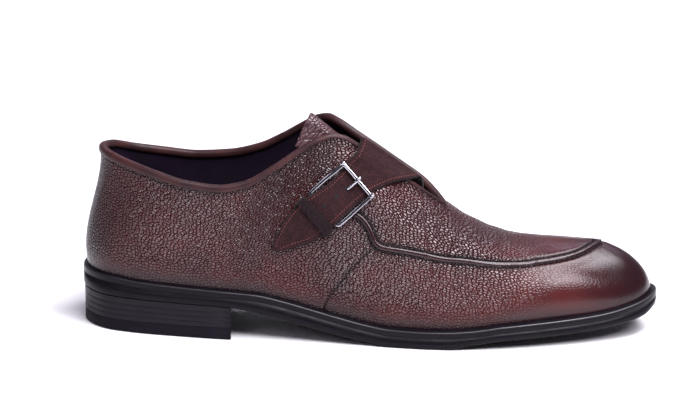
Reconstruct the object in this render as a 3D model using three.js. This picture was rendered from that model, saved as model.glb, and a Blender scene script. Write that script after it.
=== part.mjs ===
// Monk strap shoe, right foot. Millimetres, +X toe, +Y inner (medial) side, +Z up.
import * as THREE from 'three'

// Driving sizes
const LENGTH = 303          // sole, heel back to toe tip
const BALL_WIDTH = 103      // sole across the ball
const HEEL_HEIGHT = 30      // ground to rim top at the heel back
const INSTEP_HEIGHT = 110   // ground to the highest point of the front edge
const WALL = 2.2            // upper
const GAP = 0.3             // between neighbours
const WELT_THICK = 3.2
const WELT_RISE = 0.9       // welt top climbs this much towards the upper
const LIFT_THICK = 7        // rubber piece under the heel
const BREAST_AT = 0.272     // heel front at the outer side, share of length
const BREAST_SLANT = 5      // its inner end lies this much further back
const BREAST_HOLLOW = 3
const EDGE_ROUND = 0.9      // sole and heel arrises
const INSOLE_THICK = 3
const TONGUE_THICK = 2.2
const STRAP_THICK = 1.8
const BINDING_THICK = 0.7
const BINDING_DROP = 3
const BINDING_CLEAR = 0.5   // fold to upper
const UPPER_INSET = 4.6     // sole edge to the foot of the upper, where it is widest
const LIFT_INSET = 0.4      // sole edge to the heel's rubber piece
const STACK_INSET = 0.7     // sole edge to the heel stack
const TONGUE_REACH = 17     // tongue behind the throat
const STRAP_BRIDGE = 4.2    // strap's free run from the throat edge

// Mesh steps
const STATIONS = 48         // heel back to toe tip, each side
const ROWS = 11             // feather line to top edge
const BAR_SIDES = 8
const END_SHARE = 0.22      // part of the stations that crowd round each end
const LOOP_SAMPLES = 900

// Sole outline, toe tip round the outer side to the heel back and home.
// x share of LENGTH, y share of BALL_WIDTH
const OUTLINE = [
  [1.000, 0.012], [0.994, -0.090], [0.976, -0.168], [0.945, -0.238], [0.900, -0.305],
  [0.830, -0.380], [0.735, -0.456], [0.628, -0.478], [0.500, -0.440], [0.380, -0.408],
  [0.258, -0.392], [0.180, -0.360], [0.105, -0.318], [0.045, -0.250], [0.010, -0.130],
  [0.000, 0.000], [0.010, 0.130], [0.045, 0.240], [0.105, 0.292], [0.180, 0.290],
  [0.258, 0.262], [0.380, 0.238], [0.480, 0.290], [0.580, 0.440], [0.680, 0.522],
  [0.760, 0.503], [0.850, 0.418], [0.915, 0.322], [0.958, 0.235], [0.985, 0.142],
]

// Heights along the sole. x share of LENGTH, the rest shares of HEEL_HEIGHT
const SOLE = table('x bottom rim', [
  [0.000, 0.630, 1.000], [0.045, 0.627, 1.000], [0.110, 0.615, 0.945], [0.180, 0.603, 0.910],
  [0.258, 0.590, 0.876], [0.315, 0.500, 0.836], [0.362, 0.385, 0.740], [0.412, 0.265, 0.612],
  [0.462, 0.150, 0.487], [0.510, 0.060, 0.380], [0.545, 0.000, 0.330], [0.600, 0.000, 0.315],
  [0.640, 0.000, 0.320], [0.690, 0.085, 0.352], [0.740, 0.155, 0.415], [0.838, 0.200, 0.473],
  [0.905, 0.252, 0.520], [0.950, 0.305, 0.590], [0.980, 0.365, 0.660], [1.000, 0.450, 0.725],
])

// Upper drawn in from the sole edge: shares of UPPER_INSET at shares of LENGTH
const EXTENSION = table('x inset', [
  [0.00, 0.65], [0.10, 0.63], [0.26, 0.72], [0.45, 0.83],
  [0.62, 1.00], [0.80, 1.00], [0.93, 0.87], [1.00, 0.78],
])
const insetAt = x => EXTENSION('inset', x) * UPPER_INSET

// Ridge of the forefoot, throat notch to toe. at: station share;
// x share of LENGTH, y share of BALL_WIDTH, z share of INSTEP_HEIGHT
const NOTCH_AT = 0.64
const CREST = table('at x y z', [
  [0.640, 0.636, -0.072, 0.607], [0.660, 0.660, -0.066, 0.558], [0.700, 0.704, -0.056, 0.488],
  [0.740, 0.745, -0.046, 0.450], [0.790, 0.790, -0.034, 0.440], [0.840, 0.828, -0.022, 0.438],
  [0.900, 0.862, -0.010, 0.434], [0.950, 0.880, -0.002, 0.428], [1.000, 0.886, 0.000, 0.425],
])

// Collar and throat edge, outer notch (negative) over the heel back (0) to the inner notch
const RIM = table('at x y z', [
  [-0.640, 0.636, -0.072, 0.607], [-0.610, 0.605, -0.105, 0.672], [-0.570, 0.567, -0.136, 0.752],
  [-0.525, 0.520, -0.156, 0.850], [-0.490, 0.487, -0.172, 0.915], [-0.465, 0.462, -0.190, 0.958],
  [-0.445, 0.443, -0.208, 0.970], [-0.420, 0.420, -0.226, 0.956], [-0.385, 0.386, -0.250, 0.905],
  [-0.340, 0.343, -0.284, 0.826], [-0.290, 0.292, -0.316, 0.752], [-0.250, 0.252, -0.328, 0.735],
  [-0.195, 0.195, -0.324, 0.752], [-0.140, 0.140, -0.288, 0.788], [-0.085, 0.088, -0.222, 0.823],
  [-0.040, 0.048, -0.125, 0.846], [0.000, 0.033, 0.000, 0.848], [0.040, 0.046, 0.110, 0.838],
  [0.085, 0.082, 0.200, 0.803], [0.140, 0.136, 0.248, 0.775], [0.195, 0.190, 0.268, 0.757],
  [0.250, 0.250, 0.264, 0.768], [0.300, 0.302, 0.246, 0.806], [0.345, 0.345, 0.220, 0.868],
  [0.380, 0.380, 0.190, 0.930], [0.410, 0.408, 0.148, 0.978], [0.435, 0.430, 0.096, 0.996],
  [0.455, 0.450, 0.060, 0.978], [0.485, 0.478, 0.030, 0.934], [0.525, 0.521, 0.000, 0.863],
  [0.560, 0.558, -0.022, 0.798], [0.600, 0.596, -0.045, 0.728], [0.625, 0.618, -0.058, 0.668],
  [0.640, 0.636, -0.072, 0.607],
])

// Section handles: foot (rise, bulge) and top (out, drop).
// rise and drop share of INSTEP_HEIGHT, bulge and out share of BALL_WIDTH
const SECTION_HEIGHT = 0.545    // side height the foot handles are drawn for, share of INSTEP_HEIGHT
const SECTION_GROWTH = 1.4      // most that a taller side lengthens them
const FULL_HANDLES_FROM = 0.6   // station from which height no longer matters
const SHAPE = table('at rise bulge out drop', [
  [-1.00, 0.118, 0.034, 0.165, 0.005], [-0.95, 0.127, 0.034, 0.165, 0.005],
  [-0.90, 0.136, 0.039, 0.165, 0.005], [-0.80, 0.173, 0.044, 0.233, 0.000],
  [-0.70, 0.200, 0.053, 0.262, 0.000], [-0.64, 0.227, 0.053, 0.223, 0.018],
  [-0.57, 0.273, 0.049, 0.175, 0.109], [-0.48, 0.309, 0.029, 0.126, 0.182],
  [-0.40, 0.291, 0.019, 0.078, 0.236], [-0.30, 0.236, 0.029, 0.029, 0.200],
  [-0.18, 0.218, 0.049, 0.019, 0.182], [-0.08, 0.218, 0.063, 0.010, 0.200],
  [0.00, 0.200, 0.063, -0.010, 0.218], [0.08, 0.218, 0.058, 0.010, 0.200],
  [0.18, 0.218, 0.034, 0.029, 0.182], [0.30, 0.255, 0.000, 0.039, 0.200],
  [0.40, 0.327, -0.029, 0.078, 0.255], [0.46, 0.327, -0.019, 0.175, 0.109],
  [0.54, 0.291, 0.039, 0.214, 0.018], [0.64, 0.236, 0.058, 0.233, 0.000],
  [0.70, 0.209, 0.058, 0.272, 0.000], [0.80, 0.173, 0.044, 0.252, 0.000],
  [0.90, 0.136, 0.039, 0.165, 0.005], [0.95, 0.127, 0.034, 0.165, 0.005],
  [1.00, 0.118, 0.034, 0.165, 0.005],
])

// Tongue rows behind the throat, as shares of TONGUE_REACH from the first covered row: shift,
// back: how far the outer edge trails, fall: drop of the inner edge, crown: lift of the ridge
const TONGUE_TIP = [
  { x: -1.00, y: 0.06, z: 0.68, width: 0.88, back: 0.53, fall: 0.53, crown: 0.12 },
  { x: -0.96, y: 0.06, z: 0.66, width: 0.90, back: 0.52, fall: 0.52, crown: 0.12 },
  { x: -0.65, y: 0.04, z: 0.47, width: 0.94, back: 0.40, fall: 0.35, crown: 0.07 },
  { x: -0.30, y: 0.02, z: 0.21, width: 0.98, back: 0.22, fall: 0.18, crown: 0.03 },
]
const INNER_TRAIL = 0.35    // the tongue's inner edge trails this much of the outer
const TONGUE_FROM = 0.475   // stations covered by the upper's throat
const TONGUE_TO = 0.685
const TONGUE_DEPTH = WALL + BINDING_CLEAR + BINDING_THICK + STRAP_THICK + 4 * GAP

// Raised apron seam, middle line on the upper: side, station, height share
const APRON = [
  [-1, 0.490, 0.532], [-1, 0.503, 0.515], [-1, 0.512, 0.485], [-1, 0.517, 0.450], [-1, 0.521, 0.418],
  [-1, 0.528, 0.402], [-1, 0.542, 0.410], [-1, 0.562, 0.435], [-1, 0.590, 0.458], [-1, 0.620, 0.485],
  [-1, 0.650, 0.512], [-1, 0.690, 0.562], [-1, 0.735, 0.612], [-1, 0.765, 0.638], [-1, 0.790, 0.657],
  [-1, 0.825, 0.692], [-1, 0.860, 0.742], [-1, 0.905, 0.825], [-1, 0.950, 0.895],
  [1, 1.000, 0.942], [1, 0.950, 0.890], [1, 0.905, 0.820], [1, 0.860, 0.740], [1, 0.825, 0.690],
  [1, 0.790, 0.655], [1, 0.765, 0.635], [1, 0.735, 0.610], [1, 0.690, 0.560], [1, 0.650, 0.520],
  [1, 0.620, 0.500], [1, 0.590, 0.485], [1, 0.560, 0.475],
]
const APRON_WIDTH = 3.2
const APRON_THICK = 0.6
const APRON_DOME = 0.45

// Strap, root to tip: side, both edges (a collar side, b toe side) as station and height share,
// seat: what lies between strap and upper, as counts of gap, binding and buckle bar
const BAR_R = 1.0
const FRONT_BAR_R = 1.3
const STRAP = [
  { side: 1, a: [0.500, 0.840], b: [0.618, 0.860], seat: 'under' },
  { side: 1, a: [0.499, 0.995], b: [0.613, 0.995], seat: 'under' },
  { side: -1, a: [0.491, 0.995], b: [0.590, 0.995], seat: 'edge', beyond: 1 },
  { side: -1, a: [0.489, 0.995], b: [0.578, 0.995], seat: 'edge', beyond: 0.12 },
  { side: -1, a: [0.483, 0.900], b: [0.557, 0.900], seat: 'edge' },
  { side: -1, a: [0.474, 0.840], b: [0.536, 0.800], seat: 'flat' },
  { side: -1, a: [0.469, 0.790], b: [0.515, 0.705], seat: 'flat' },
  { side: -1, a: [0.445, 0.672], b: [0.485, 0.555], seat: 'rising' },
  { side: -1, a: [0.417, 0.616], b: [0.461, 0.440], seat: 'bar' },
  { side: -1, a: [0.398, 0.570], b: [0.443, 0.375], seat: 'falling' },
  { side: -1, a: [0.388, 0.530], b: [0.428, 0.335], seat: 'near' },
  { side: -1, a: [0.378, 0.455], b: [0.407, 0.300], seat: 'flat' },
  { side: -1, a: [0.370, 0.345], b: [0.388, 0.283], seat: 'flat' },
  { side: -1, a: [0.370, 0.305], b: [0.376, 0.283], seat: 'flat' },
]
const KEEPER = { front: [[0.4085, 0.610], [0.4560, 0.424]], back: [[0.3985, 0.573], [0.4440, 0.379]] }
const KEEPER_THICK = 1.1
// Buckle frame: outer corners as station and height share
const FRAME = { top: [0.466, 0.822], right: [0.520, 0.682], bottom: [0.465, 0.420], left: [0.410, 0.642] }
const FRAME_INSET = 0.92
const PRONG_R = 0.85

// Cubic curve through named columns, flat beyond the ends
function table(columns, rows) {
  const names = columns.split(' ')
  const slope = (i, c) => {
    const a = rows[Math.max(i - 1, 0)], b = rows[Math.min(i + 1, rows.length - 1)]
    if (i === 0 || i === rows.length - 1) return 0
    const here = rows[i]
    const left = (here[c] - a[c]) / (here[0] - a[0]), right = (b[c] - here[c]) / (b[0] - here[0])
    return left * right <= 0 ? 0 : 2 * left * right / (left + right)
  }
  return (name, at) => {
    const c = names.indexOf(name)
    if (at <= rows[0][0]) return rows[0][c]
    if (at >= rows[rows.length - 1][0]) return rows[rows.length - 1][c]
    let i = 0
    while (rows[i + 1][0] < at) i++
    const span = rows[i + 1][0] - rows[i][0], u = (at - rows[i][0]) / span
    const p = rows[i][c], q = rows[i + 1][c], m = slope(i, c) * span, n = slope(i + 1, c) * span
    return (2 * u ** 3 - 3 * u ** 2 + 1) * p + (u ** 3 - 2 * u ** 2 + u) * m
      + (3 * u ** 2 - 2 * u ** 3) * q + (u ** 3 - u ** 2) * n
  }
}

// Outline as a dense loop with outward normals
const LOOP = (() => {
  const curve = new THREE.CatmullRomCurve3(
    OUTLINE.map(([x, y]) => new THREE.Vector3(x * LENGTH, y * BALL_WIDTH, 0)), true, 'centripetal')
  const loop = []
  for (let i = 0; i < LOOP_SAMPLES; i++) {
    const tangent = curve.getTangent(i / LOOP_SAMPLES)
    const point = curve.getPoint(i / LOOP_SAMPLES)
    loop.push({ x: point.x, y: point.y, nx: -tangent.y, ny: tangent.x })
  }
  return loop
})()

// Both halves of the outline drawn in by inset(x share); returns (side, share) => point and normal
function halves(inset) {
  const loop = LOOP.map(p => {
    const d = inset(p.x / LENGTH)
    return { ...p, x: p.x - p.nx * d, y: p.y - p.ny * d }
  })
  const best = sign => loop.reduce((b, p, i) => (sign * p.x > sign * loop[b].x ? i : b), 0)
  const toe = best(1), heel = best(-1)
  const walk = (from, to, step) => {
    const out = [loop[from]]
    for (let i = from; i !== to;) {
      i = (i + step + LOOP_SAMPLES) % LOOP_SAMPLES
      if (loop[i].x < out[out.length - 1].x) out.push(loop[i])
    }
    return out.reverse()
  }
  const lines = { '-1': walk(toe, heel, 1), 1: walk(toe, heel, -1) }
  const x0 = loop[heel].x, x1 = loop[toe].x
  return (side, share) => {
    const line = lines[side], x = x0 + (x1 - x0) * Math.min(Math.max(share, 0), 1)
    let lo = 0, hi = line.length - 1
    while (hi - lo > 1) {
      const mid = (lo + hi) >> 1
      if (line[mid].x <= x) lo = mid
      else hi = mid
    }
    const a = line[lo], b = line[hi], u = Math.min(Math.max((x - a.x) / (b.x - a.x), 0), 1)
    const mix = key => a[key] + (b[key] - a[key]) * u
    return { x, y: mix('y'), nx: mix('nx'), ny: mix('ny') }
  }
}

// Station parameter 0..1 to share of length: slow at both ends so round ends stay round
function shareAt(a) {
  const c = 1 / (1 - END_SHARE)
  if (a < END_SHARE) return c * a * a / (2 * END_SHARE)
  if (a > 1 - END_SHARE) return 1 - c * (1 - a) ** 2 / (2 * END_SHARE)
  return c * (a - END_SHARE / 2)
}

const bottomZ = x => SOLE('bottom', x / LENGTH) * HEEL_HEIGHT
const rimZ = x => SOLE('rim', x / LENGTH) * HEEL_HEIGHT
const seamZ = x => rimZ(x) - WELT_THICK - GAP

// Mesh builder: shared vertices by key, quads split in two
function builder() {
  const points = [], faces = []
  return {
    points, faces,
    add: (x, y, z) => points.push(x, y, z) / 3 - 1,
    quad: (a, b, c, d) => {
      if (a !== b && b !== c && a !== c) faces.push(a, b, c)
      if (a !== c && c !== d && a !== d) faces.push(a, c, d)
    },
  }
}

function solid(build) {
  const { points, faces } = build
  let volume = 0
  const v = i => new THREE.Vector3(points[3 * i], points[3 * i + 1], points[3 * i + 2])
  for (let i = 0; i < faces.length; i += 3) {
    volume += v(faces[i]).dot(v(faces[i + 1]).cross(v(faces[i + 2])))
  }
  const index = volume > 0 ? faces : faces.slice().reverse()
  const geometry = new THREE.BufferGeometry()
  geometry.setAttribute('position', new THREE.Float32BufferAttribute(points, 3))
  geometry.setIndex(index)
  geometry.computeVertexNormals()
  return geometry
}

// Ring of stations: outer side toe to heel, then inner side back to the toe
const RING = []
for (let k = STATIONS; k >= 0; k--) RING.push({ side: -1, k })
for (let k = 1; k < STATIONS; k++) RING.push({ side: 1, k })
const COUNT = RING.length

function plateRing(half, height) {
  return RING.map(({ side, k }) => {
    const p = half(side, shareAt(k / STATIONS))
    return [p.x, p.y, height(p.x)]
  })
}

// Closed plate from stacked rings; the caps are bridged across the two sides
function plate(rings) {
  const b = builder()
  const ids = rings.map(ring => ring.map(p => b.add(...p)))
  for (let r = 0; r + 1 < ids.length; r++) {
    for (let i = 0; i < COUNT; i++) {
      const j = (i + 1) % COUNT
      b.quad(ids[r][i], ids[r][j], ids[r + 1][j], ids[r + 1][i])
    }
  }
  for (const [ring, up] of [[ids[0], false], [ids[ids.length - 1], true]]) {
    for (let i = 0; i < STATIONS; i++) {
      const j = i + 1, a = ring[i], c = ring[j], d = ring[(COUNT - j) % COUNT], e = ring[(COUNT - i) % COUNT]
      if (up) b.quad(a, c, d, e)
      else b.quad(a, e, d, c)
    }
  }
  return solid(b)
}

const full = halves(() => 0)
const roundedIn = halves(() => EDGE_ROUND)
const softIn = halves(() => EDGE_ROUND / 2)
const outsole = plate([
  plateRing(roundedIn, bottomZ),
  plateRing(full, x => bottomZ(x) + EDGE_ROUND),
  plateRing(full, x => seamZ(x) - EDGE_ROUND / 2),
  plateRing(softIn, seamZ),
])

// Heel blocks: outline behind the breast, with a hollow front face
function heelBlock(drawIn, levels) {
  const rings = levels.map(({ inset, z }) => {
    const half = halves(() => inset + drawIn)
    const outerFront = BREAST_AT * LENGTH - inset, innerFront = outerFront - BREAST_SLANT
    const start = half(1, 0).x
    const span = half(1, 1).x - start
    const steps = 16, ring = []
    for (let i = 0; i <= steps; i++) {
      const share = (outerFront - start) / span * shareFront(1 - i / steps)
      const p = half(-1, share)
      ring.push([p.x, p.y])
    }
    for (let i = 1; i <= steps; i++) {
      const p = half(1, (innerFront - start) / span * shareFront(i / steps))
      ring.push([p.x, p.y])
    }
    const a = ring[ring.length - 1], c = ring[0], across = 6
    for (let i = 1; i < across; i++) {
      const u = i / across
      ring.push([a[0] + (c[0] - a[0]) * u - BREAST_HOLLOW * Math.sin(Math.PI * u), a[1] + (c[1] - a[1]) * u])
    }
    return ring.map(([x, y]) => [x, y, z(x)])
  })
  const b = builder()
  const ids = rings.map(ring => ring.map(p => b.add(...p)))
  const n = rings[0].length
  for (let r = 0; r + 1 < ids.length; r++) {
    for (let i = 0; i < n; i++) {
      const j = (i + 1) % n
      b.quad(ids[r][i], ids[r][j], ids[r + 1][j], ids[r + 1][i])
    }
  }
  for (const [r, up] of [[0, false], [rings.length - 1, true]]) {
    const contour = rings[r].map(([x, y]) => new THREE.Vector2(x, y))
    for (const [p, q, s] of THREE.ShapeUtils.triangulateShape(contour, [])) {
      const turn = (contour[q].x - contour[p].x) * (contour[s].y - contour[p].y)
        - (contour[q].y - contour[p].y) * (contour[s].x - contour[p].x)
      const side = THREE.ShapeUtils.isClockWise(contour)
      const same = (turn < 0) === side
      const tri = same ? [p, q, s] : [p, s, q]
      b.faces.push(...(up ? tri : tri.slice().reverse()).map(i => ids[r][i]))
    }
  }
  return solid(b)
}
// Quarter-round spacing so the back of the heel keeps its curve
function shareFront(u) { return 1 - Math.sqrt(Math.max(1 - u * u, 0)) * (1 - 0.35 * u) }

const heelTopLift = heelBlock(LIFT_INSET, [
  { inset: EDGE_ROUND, z: () => 0 },
  { inset: 0, z: () => EDGE_ROUND },
  { inset: 0, z: () => LIFT_THICK - GAP },
])
const heelStack = heelBlock(STACK_INSET, [
  { inset: 0, z: () => LIFT_THICK },
  { inset: 0, z: x => bottomZ(x) - GAP },
])

// Upper surface. side -1 outer, +1 inner; a station 0 heel back to 1 toe; t 0 foot to 1 top
const feather = halves(insetAt)
function topPoint(side, a) {
  const [read, at] = a >= NOTCH_AT ? [CREST, a] : [RIM, side * a]
  return new THREE.Vector3(
    read('x', at) * LENGTH, read('y', at) * BALL_WIDTH, read('z', at) * INSTEP_HEIGHT)
}
function crestSlope(a) {
  if (a < NOTCH_AT) return 0
  const e = 0.004, lo = topPoint(1, Math.max(a - e, NOTCH_AT)), hi = topPoint(1, Math.min(a + e, 1))
  return hi.x - lo.x > 0.05 ? (hi.z - lo.z) / (hi.x - lo.x) : 0
}
function surface(side, a, t) {
  const f = feather(side, shareAt(a))
  const foot = new THREE.Vector3(f.x, f.y, seamZ(f.x) + GAP)
  const top = topPoint(side, a), at = side * a
  const height = (top.z - foot.z) / (SECTION_HEIGHT * INSTEP_HEIGHT)
  const normal = new THREE.Vector3(f.nx, f.ny, 0).normalize()
  const low = foot.clone().addScaledVector(normal, SHAPE('bulge', at) * BALL_WIDTH)
  low.z += SHAPE('rise', at) * INSTEP_HEIGHT * (a > FULL_HANDLES_FROM ? 1 : Math.min(height, SECTION_GROWTH))
  const out = SHAPE('out', at) * BALL_WIDTH
  const high = top.clone().addScaledVector(normal, out)
  high.z += crestSlope(a) * out * normal.x - SHAPE('drop', at) * INSTEP_HEIGHT
  const s = 1 - t
  return foot.multiplyScalar(s ** 3).addScaledVector(low, 3 * s * s * t)
    .addScaledVector(high, 3 * s * t * t).addScaledVector(top, t ** 3)
}

// Station list with the notch exactly on one station
const NOTCH_K = Math.round(NOTCH_AT * STATIONS)
const stationAt = k => (k <= NOTCH_K
  ? NOTCH_AT * k / NOTCH_K
  : NOTCH_AT + (1 - NOTCH_AT) * (k - NOTCH_K) / (STATIONS - NOTCH_K))
const rowAt = j => {
  const u = j / ROWS
  return u + 0.06 * Math.sin(2 * Math.PI * u)
}

// Outer skin as one shared grid; its vertex normals place the inner skin
const skin = (() => {
  const b = builder(), ids = { '-1': [], 1: [] }
  for (const side of [-1, 1]) {
    for (let k = 0; k <= STATIONS; k++) {
      ids[side].push([])
      for (let j = 0; j <= ROWS; j++) {
        const shared = side === 1 && (k === 0 || k === STATIONS || (j === ROWS && k >= NOTCH_K))
        const p = shared ? null : surface(side, stationAt(k), rowAt(j))
        ids[side][k].push(shared ? ids[-1][k][j] : b.add(p.x, p.y, p.z))
      }
    }
  }
  for (const side of [-1, 1]) {
    for (let k = 0; k < STATIONS; k++) {
      for (let j = 0; j < ROWS; j++) {
        const q = [ids[side][k][j], ids[side][k + 1][j], ids[side][k + 1][j + 1], ids[side][k][j + 1]]
        b.quad(...(side < 0 ? q : q.reverse()))
      }
    }
  }
  const geometry = new THREE.BufferGeometry()
  geometry.setAttribute('position', new THREE.Float32BufferAttribute(b.points, 3))
  geometry.setIndex(b.faces)
  geometry.computeVertexNormals()
  const at = i => new THREE.Vector3().fromBufferAttribute(geometry.attributes.position, i)
  const normal = i => new THREE.Vector3().fromBufferAttribute(geometry.attributes.normal, i)
  return { ids, faces: b.faces, count: b.points.length / 3, at, normal }
})()

// Edge loops as vertex ids: rim from outer notch round the heel to the inner notch, and foot
const rimIds = []
for (let k = NOTCH_K; k > 0; k--) rimIds.push({ side: -1, k })
for (let k = 0; k <= NOTCH_K; k++) rimIds.push({ side: k ? 1 : -1, k })
const skinId = ({ side, k }, j) => skin.ids[side][k][j]

function lined(i, depth) { return skin.at(i).addScaledVector(skin.normal(i), -depth) }

const upper = (() => {
  const b = builder(), n = skin.count
  for (const depth of [0, WALL]) {
    for (let i = 0; i < n; i++) b.add(...lined(i, depth).toArray())
  }
  b.faces.push(...skin.faces)
  for (let i = 0; i < skin.faces.length; i += 3) {
    b.faces.push(skin.faces[i] + n, skin.faces[i + 2] + n, skin.faces[i + 1] + n)
  }
  const strip = (a, c) => b.quad(a, a + n, c + n, c)
  for (let i = 0; i + 1 < rimIds.length; i++) {
    strip(skinId(rimIds[i], ROWS), skinId(rimIds[i + 1], ROWS))
  }
  const foot = RING.map(p => skinId(p, 0))
  for (let i = 0; i < COUNT; i++) strip(foot[(i + 1) % COUNT], foot[i])
  return solid(b)
})()

// Welt: ring whose inner face follows the upper's foot
const welt = (() => {
  const b = builder()
  const inner = lift => RING.map(({ side, k }) => {
    const i = skin.ids[side][k][0], up = skin.ids[side][k][1]
    const base = skin.at(i), dir = skin.at(up).sub(base)
    const step = Math.min(lift / dir.z, 1.2)
    const p = base.clone().addScaledVector(dir, step)
    const f = feather(side, shareAt(stationAt(k)))
    return [p.x + f.nx * GAP, p.y + f.ny * GAP, base.z + lift]
  })
  const outer = (inset, height) => RING.map(({ side, k }) => {
    const p = inset(side, shareAt(stationAt(k)))
    return [p.x, p.y, height(p.x)]
  })
  const rings = [
    inner(0),
    outer(softIn, x => seamZ(x) + GAP),
    outer(full, x => seamZ(x) + GAP + EDGE_ROUND / 2),
    outer(full, x => rimZ(x) - EDGE_ROUND / 2),
    outer(roundedIn, rimZ),
    inner(WELT_THICK + WELT_RISE),
  ]
  const ids = rings.map(ring => ring.map(p => b.add(...p)))
  for (let r = 0; r < ids.length; r++) {
    const next = ids[(r + 1) % ids.length]
    for (let i = 0; i < COUNT; i++) {
      const j = (i + 1) % COUNT
      b.quad(ids[r][i], ids[r][j], next[j], next[i])
    }
  }
  return solid(b)
})()
// Insole board
const insoleEdge = halves(x => insetAt(x) + WALL + 3 * GAP)
const insole = plate([
  plateRing(insoleEdge, x => seamZ(x) + GAP),
  plateRing(insoleEdge, x => seamZ(x) + GAP + INSOLE_THICK),
])

// Closed sheet: grid is the outer face, the inner face lies thick below it along the normals
function sheet(grid, thick) {
  const rows = grid.length, cols = grid[0].length, b = builder()
  grid.flat().forEach(p => b.add(p.x, p.y, p.z))
  for (let i = 0; i + 1 < rows; i++) {
    for (let j = 0; j + 1 < cols; j++) {
      const q = i * cols + j
      b.quad(q, q + 1, q + cols + 1, q + cols)
    }
  }
  const geometry = new THREE.BufferGeometry()
  geometry.setAttribute('position', new THREE.Float32BufferAttribute(b.points, 3))
  geometry.setIndex(b.faces.slice())
  geometry.computeVertexNormals()
  const normal = geometry.attributes.normal, n = rows * cols, faces = b.faces.slice()
  grid.flat().forEach((p, i) => b.add(
    p.x - thick * normal.getX(i), p.y - thick * normal.getY(i), p.z - thick * normal.getZ(i)))
  for (let i = 0; i < faces.length; i += 3) {
    b.faces.push(faces[i] + n, faces[i + 2] + n, faces[i + 1] + n)
  }
  const border = []
  for (let j = 0; j + 1 < cols; j++) border.push(j)
  for (let i = 0; i + 1 < rows; i++) border.push(i * cols + cols - 1)
  for (let j = cols - 1; j > 0; j--) border.push((rows - 1) * cols + j)
  for (let i = rows - 1; i > 0; i--) border.push(i * cols)
  border.forEach((p, i) => {
    const q = border[(i + 1) % border.length]
    b.quad(q, p, p + n, q + n)
  })
  return solid(b)
}

// Point on the outer skin with its outward normal
function onUpper(side, a, t, lift) {
  const e = 0.002, p = surface(side, a, t)
  const along = surface(side, Math.min(a + e, 1), t).sub(surface(side, a - e, t))
  const rise = surface(side, a, Math.min(t + e, 1)).sub(surface(side, a, t - e))
  const normal = along.cross(rise).normalize().multiplyScalar(side < 0 ? 1 : -1)
  return p.addScaledVector(normal, lift)
}

// Tongue: arched sheet under the throat, its rows hung from the two edges
const tongue = (() => {
  const along = 10, across = 12
  const row = a => {
    const pins = [[-1, 0.80], [-1, 0.92], [-1, 0.995], [1, 0.995], [1, 0.94], [1, 0.86]]
      .map(([side, t]) => onUpper(side, a, t, -TONGUE_DEPTH))
    if (a >= NOTCH_AT) {
      const mid = pins[2].clone().add(pins[3]).multiplyScalar(0.5)
      pins.splice(2, 2, mid)
    }
    const curve = new THREE.CatmullRomCurve3(pins, false, 'centripetal')
    return curve.getSpacedPoints(across)
  }
  const grid = []
  const first = row(TONGUE_FROM), ridge = first[across / 2]
  for (const tip of TONGUE_TIP) {
    grid.push(first.map((p, j) => {
      const u = 2 * j / across - 1, inner = Math.max(u, 0), outer = Math.max(-u, 0)
      const trail = tip.back * (outer + INNER_TRAIL * inner)
      const lift = tip.z - tip.fall * inner * inner + tip.crown * (1 - u * u)
      return new THREE.Vector3(
        p.x + (tip.x - trail) * TONGUE_REACH,
        ridge.y + (p.y - ridge.y) * tip.width + tip.y * TONGUE_REACH,
        p.z + lift * TONGUE_REACH)
    }))
  }
  for (let i = 0; i <= along; i++) grid.push(row(TONGUE_FROM + (TONGUE_TO - TONGUE_FROM) * i / along))
  return sheet(grid.reverse(), TONGUE_THICK)
})()

// Binding: channel folded over the collar and throat edge, just clear of the upper
const binding = (() => {
  const b = builder(), rings = []
  for (const place of rimIds.filter(({ k }) => k < NOTCH_K - 2)) {
    const i = skinId(place, ROWS), p = skin.at(i), n = skin.normal(i)
    const down = skin.at(skinId(place, ROWS - 1)).sub(p).normalize()
    const side = down.clone().cross(n).normalize()
    n.copy(side.cross(down)).normalize()
    const near = BINDING_CLEAR, far = near + BINDING_THICK, ring = [
      [near, BINDING_DROP], [far, BINDING_DROP], [far, -1.5 * near],
      [-WALL / 2, -far], [-WALL - far, -1.5 * near],
      [-WALL - far, BINDING_DROP], [-WALL - near, BINDING_DROP], [-WALL - near, -near], [near, -near],
    ]
    rings.push(ring.map(([u, v]) => {
      const q = p.clone().addScaledVector(n, u).addScaledVector(down, v)
      return b.add(q.x, q.y, q.z)
    }))
  }
  return tube(b, rings, false)
})()

// Tube through rings of vertex ids; open runs get fan caps
function tube(b, rings, loop) {
  const n = rings[0].length, last = rings.length - 1
  for (let i = 0; i < rings.length - (loop ? 0 : 1); i++) {
    const p = rings[i], q = rings[(i + 1) % rings.length]
    for (let j = 0; j < n; j++) b.quad(p[j], p[(j + 1) % n], q[(j + 1) % n], q[j])
  }
  if (!loop) {
    for (const [ring, flip] of [[rings[0], true], [rings[last], false]]) {
      const at = i => new THREE.Vector3().fromArray(b.points, 3 * i)
      const o = at(ring[0]), u = at(ring[1]).sub(o).normalize()
      const normal = new THREE.Vector3()
      for (let j = 0; j < n; j++) normal.add(at(ring[j]).sub(o).cross(at(ring[(j + 1) % n]).sub(o)))
      const v = normal.normalize().clone().cross(u)
      const flat = ring.map(i => {
        const d = at(i).sub(o)
        return new THREE.Vector2(d.dot(u), d.dot(v))
      })
      for (const t of THREE.ShapeUtils.triangulateShape(flat, [])) {
        const ids = t.map(i => ring[i])
        b.faces.push(...(flip ? ids.reverse() : ids))
      }
    }
  }
  return solid(b)
}

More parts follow.
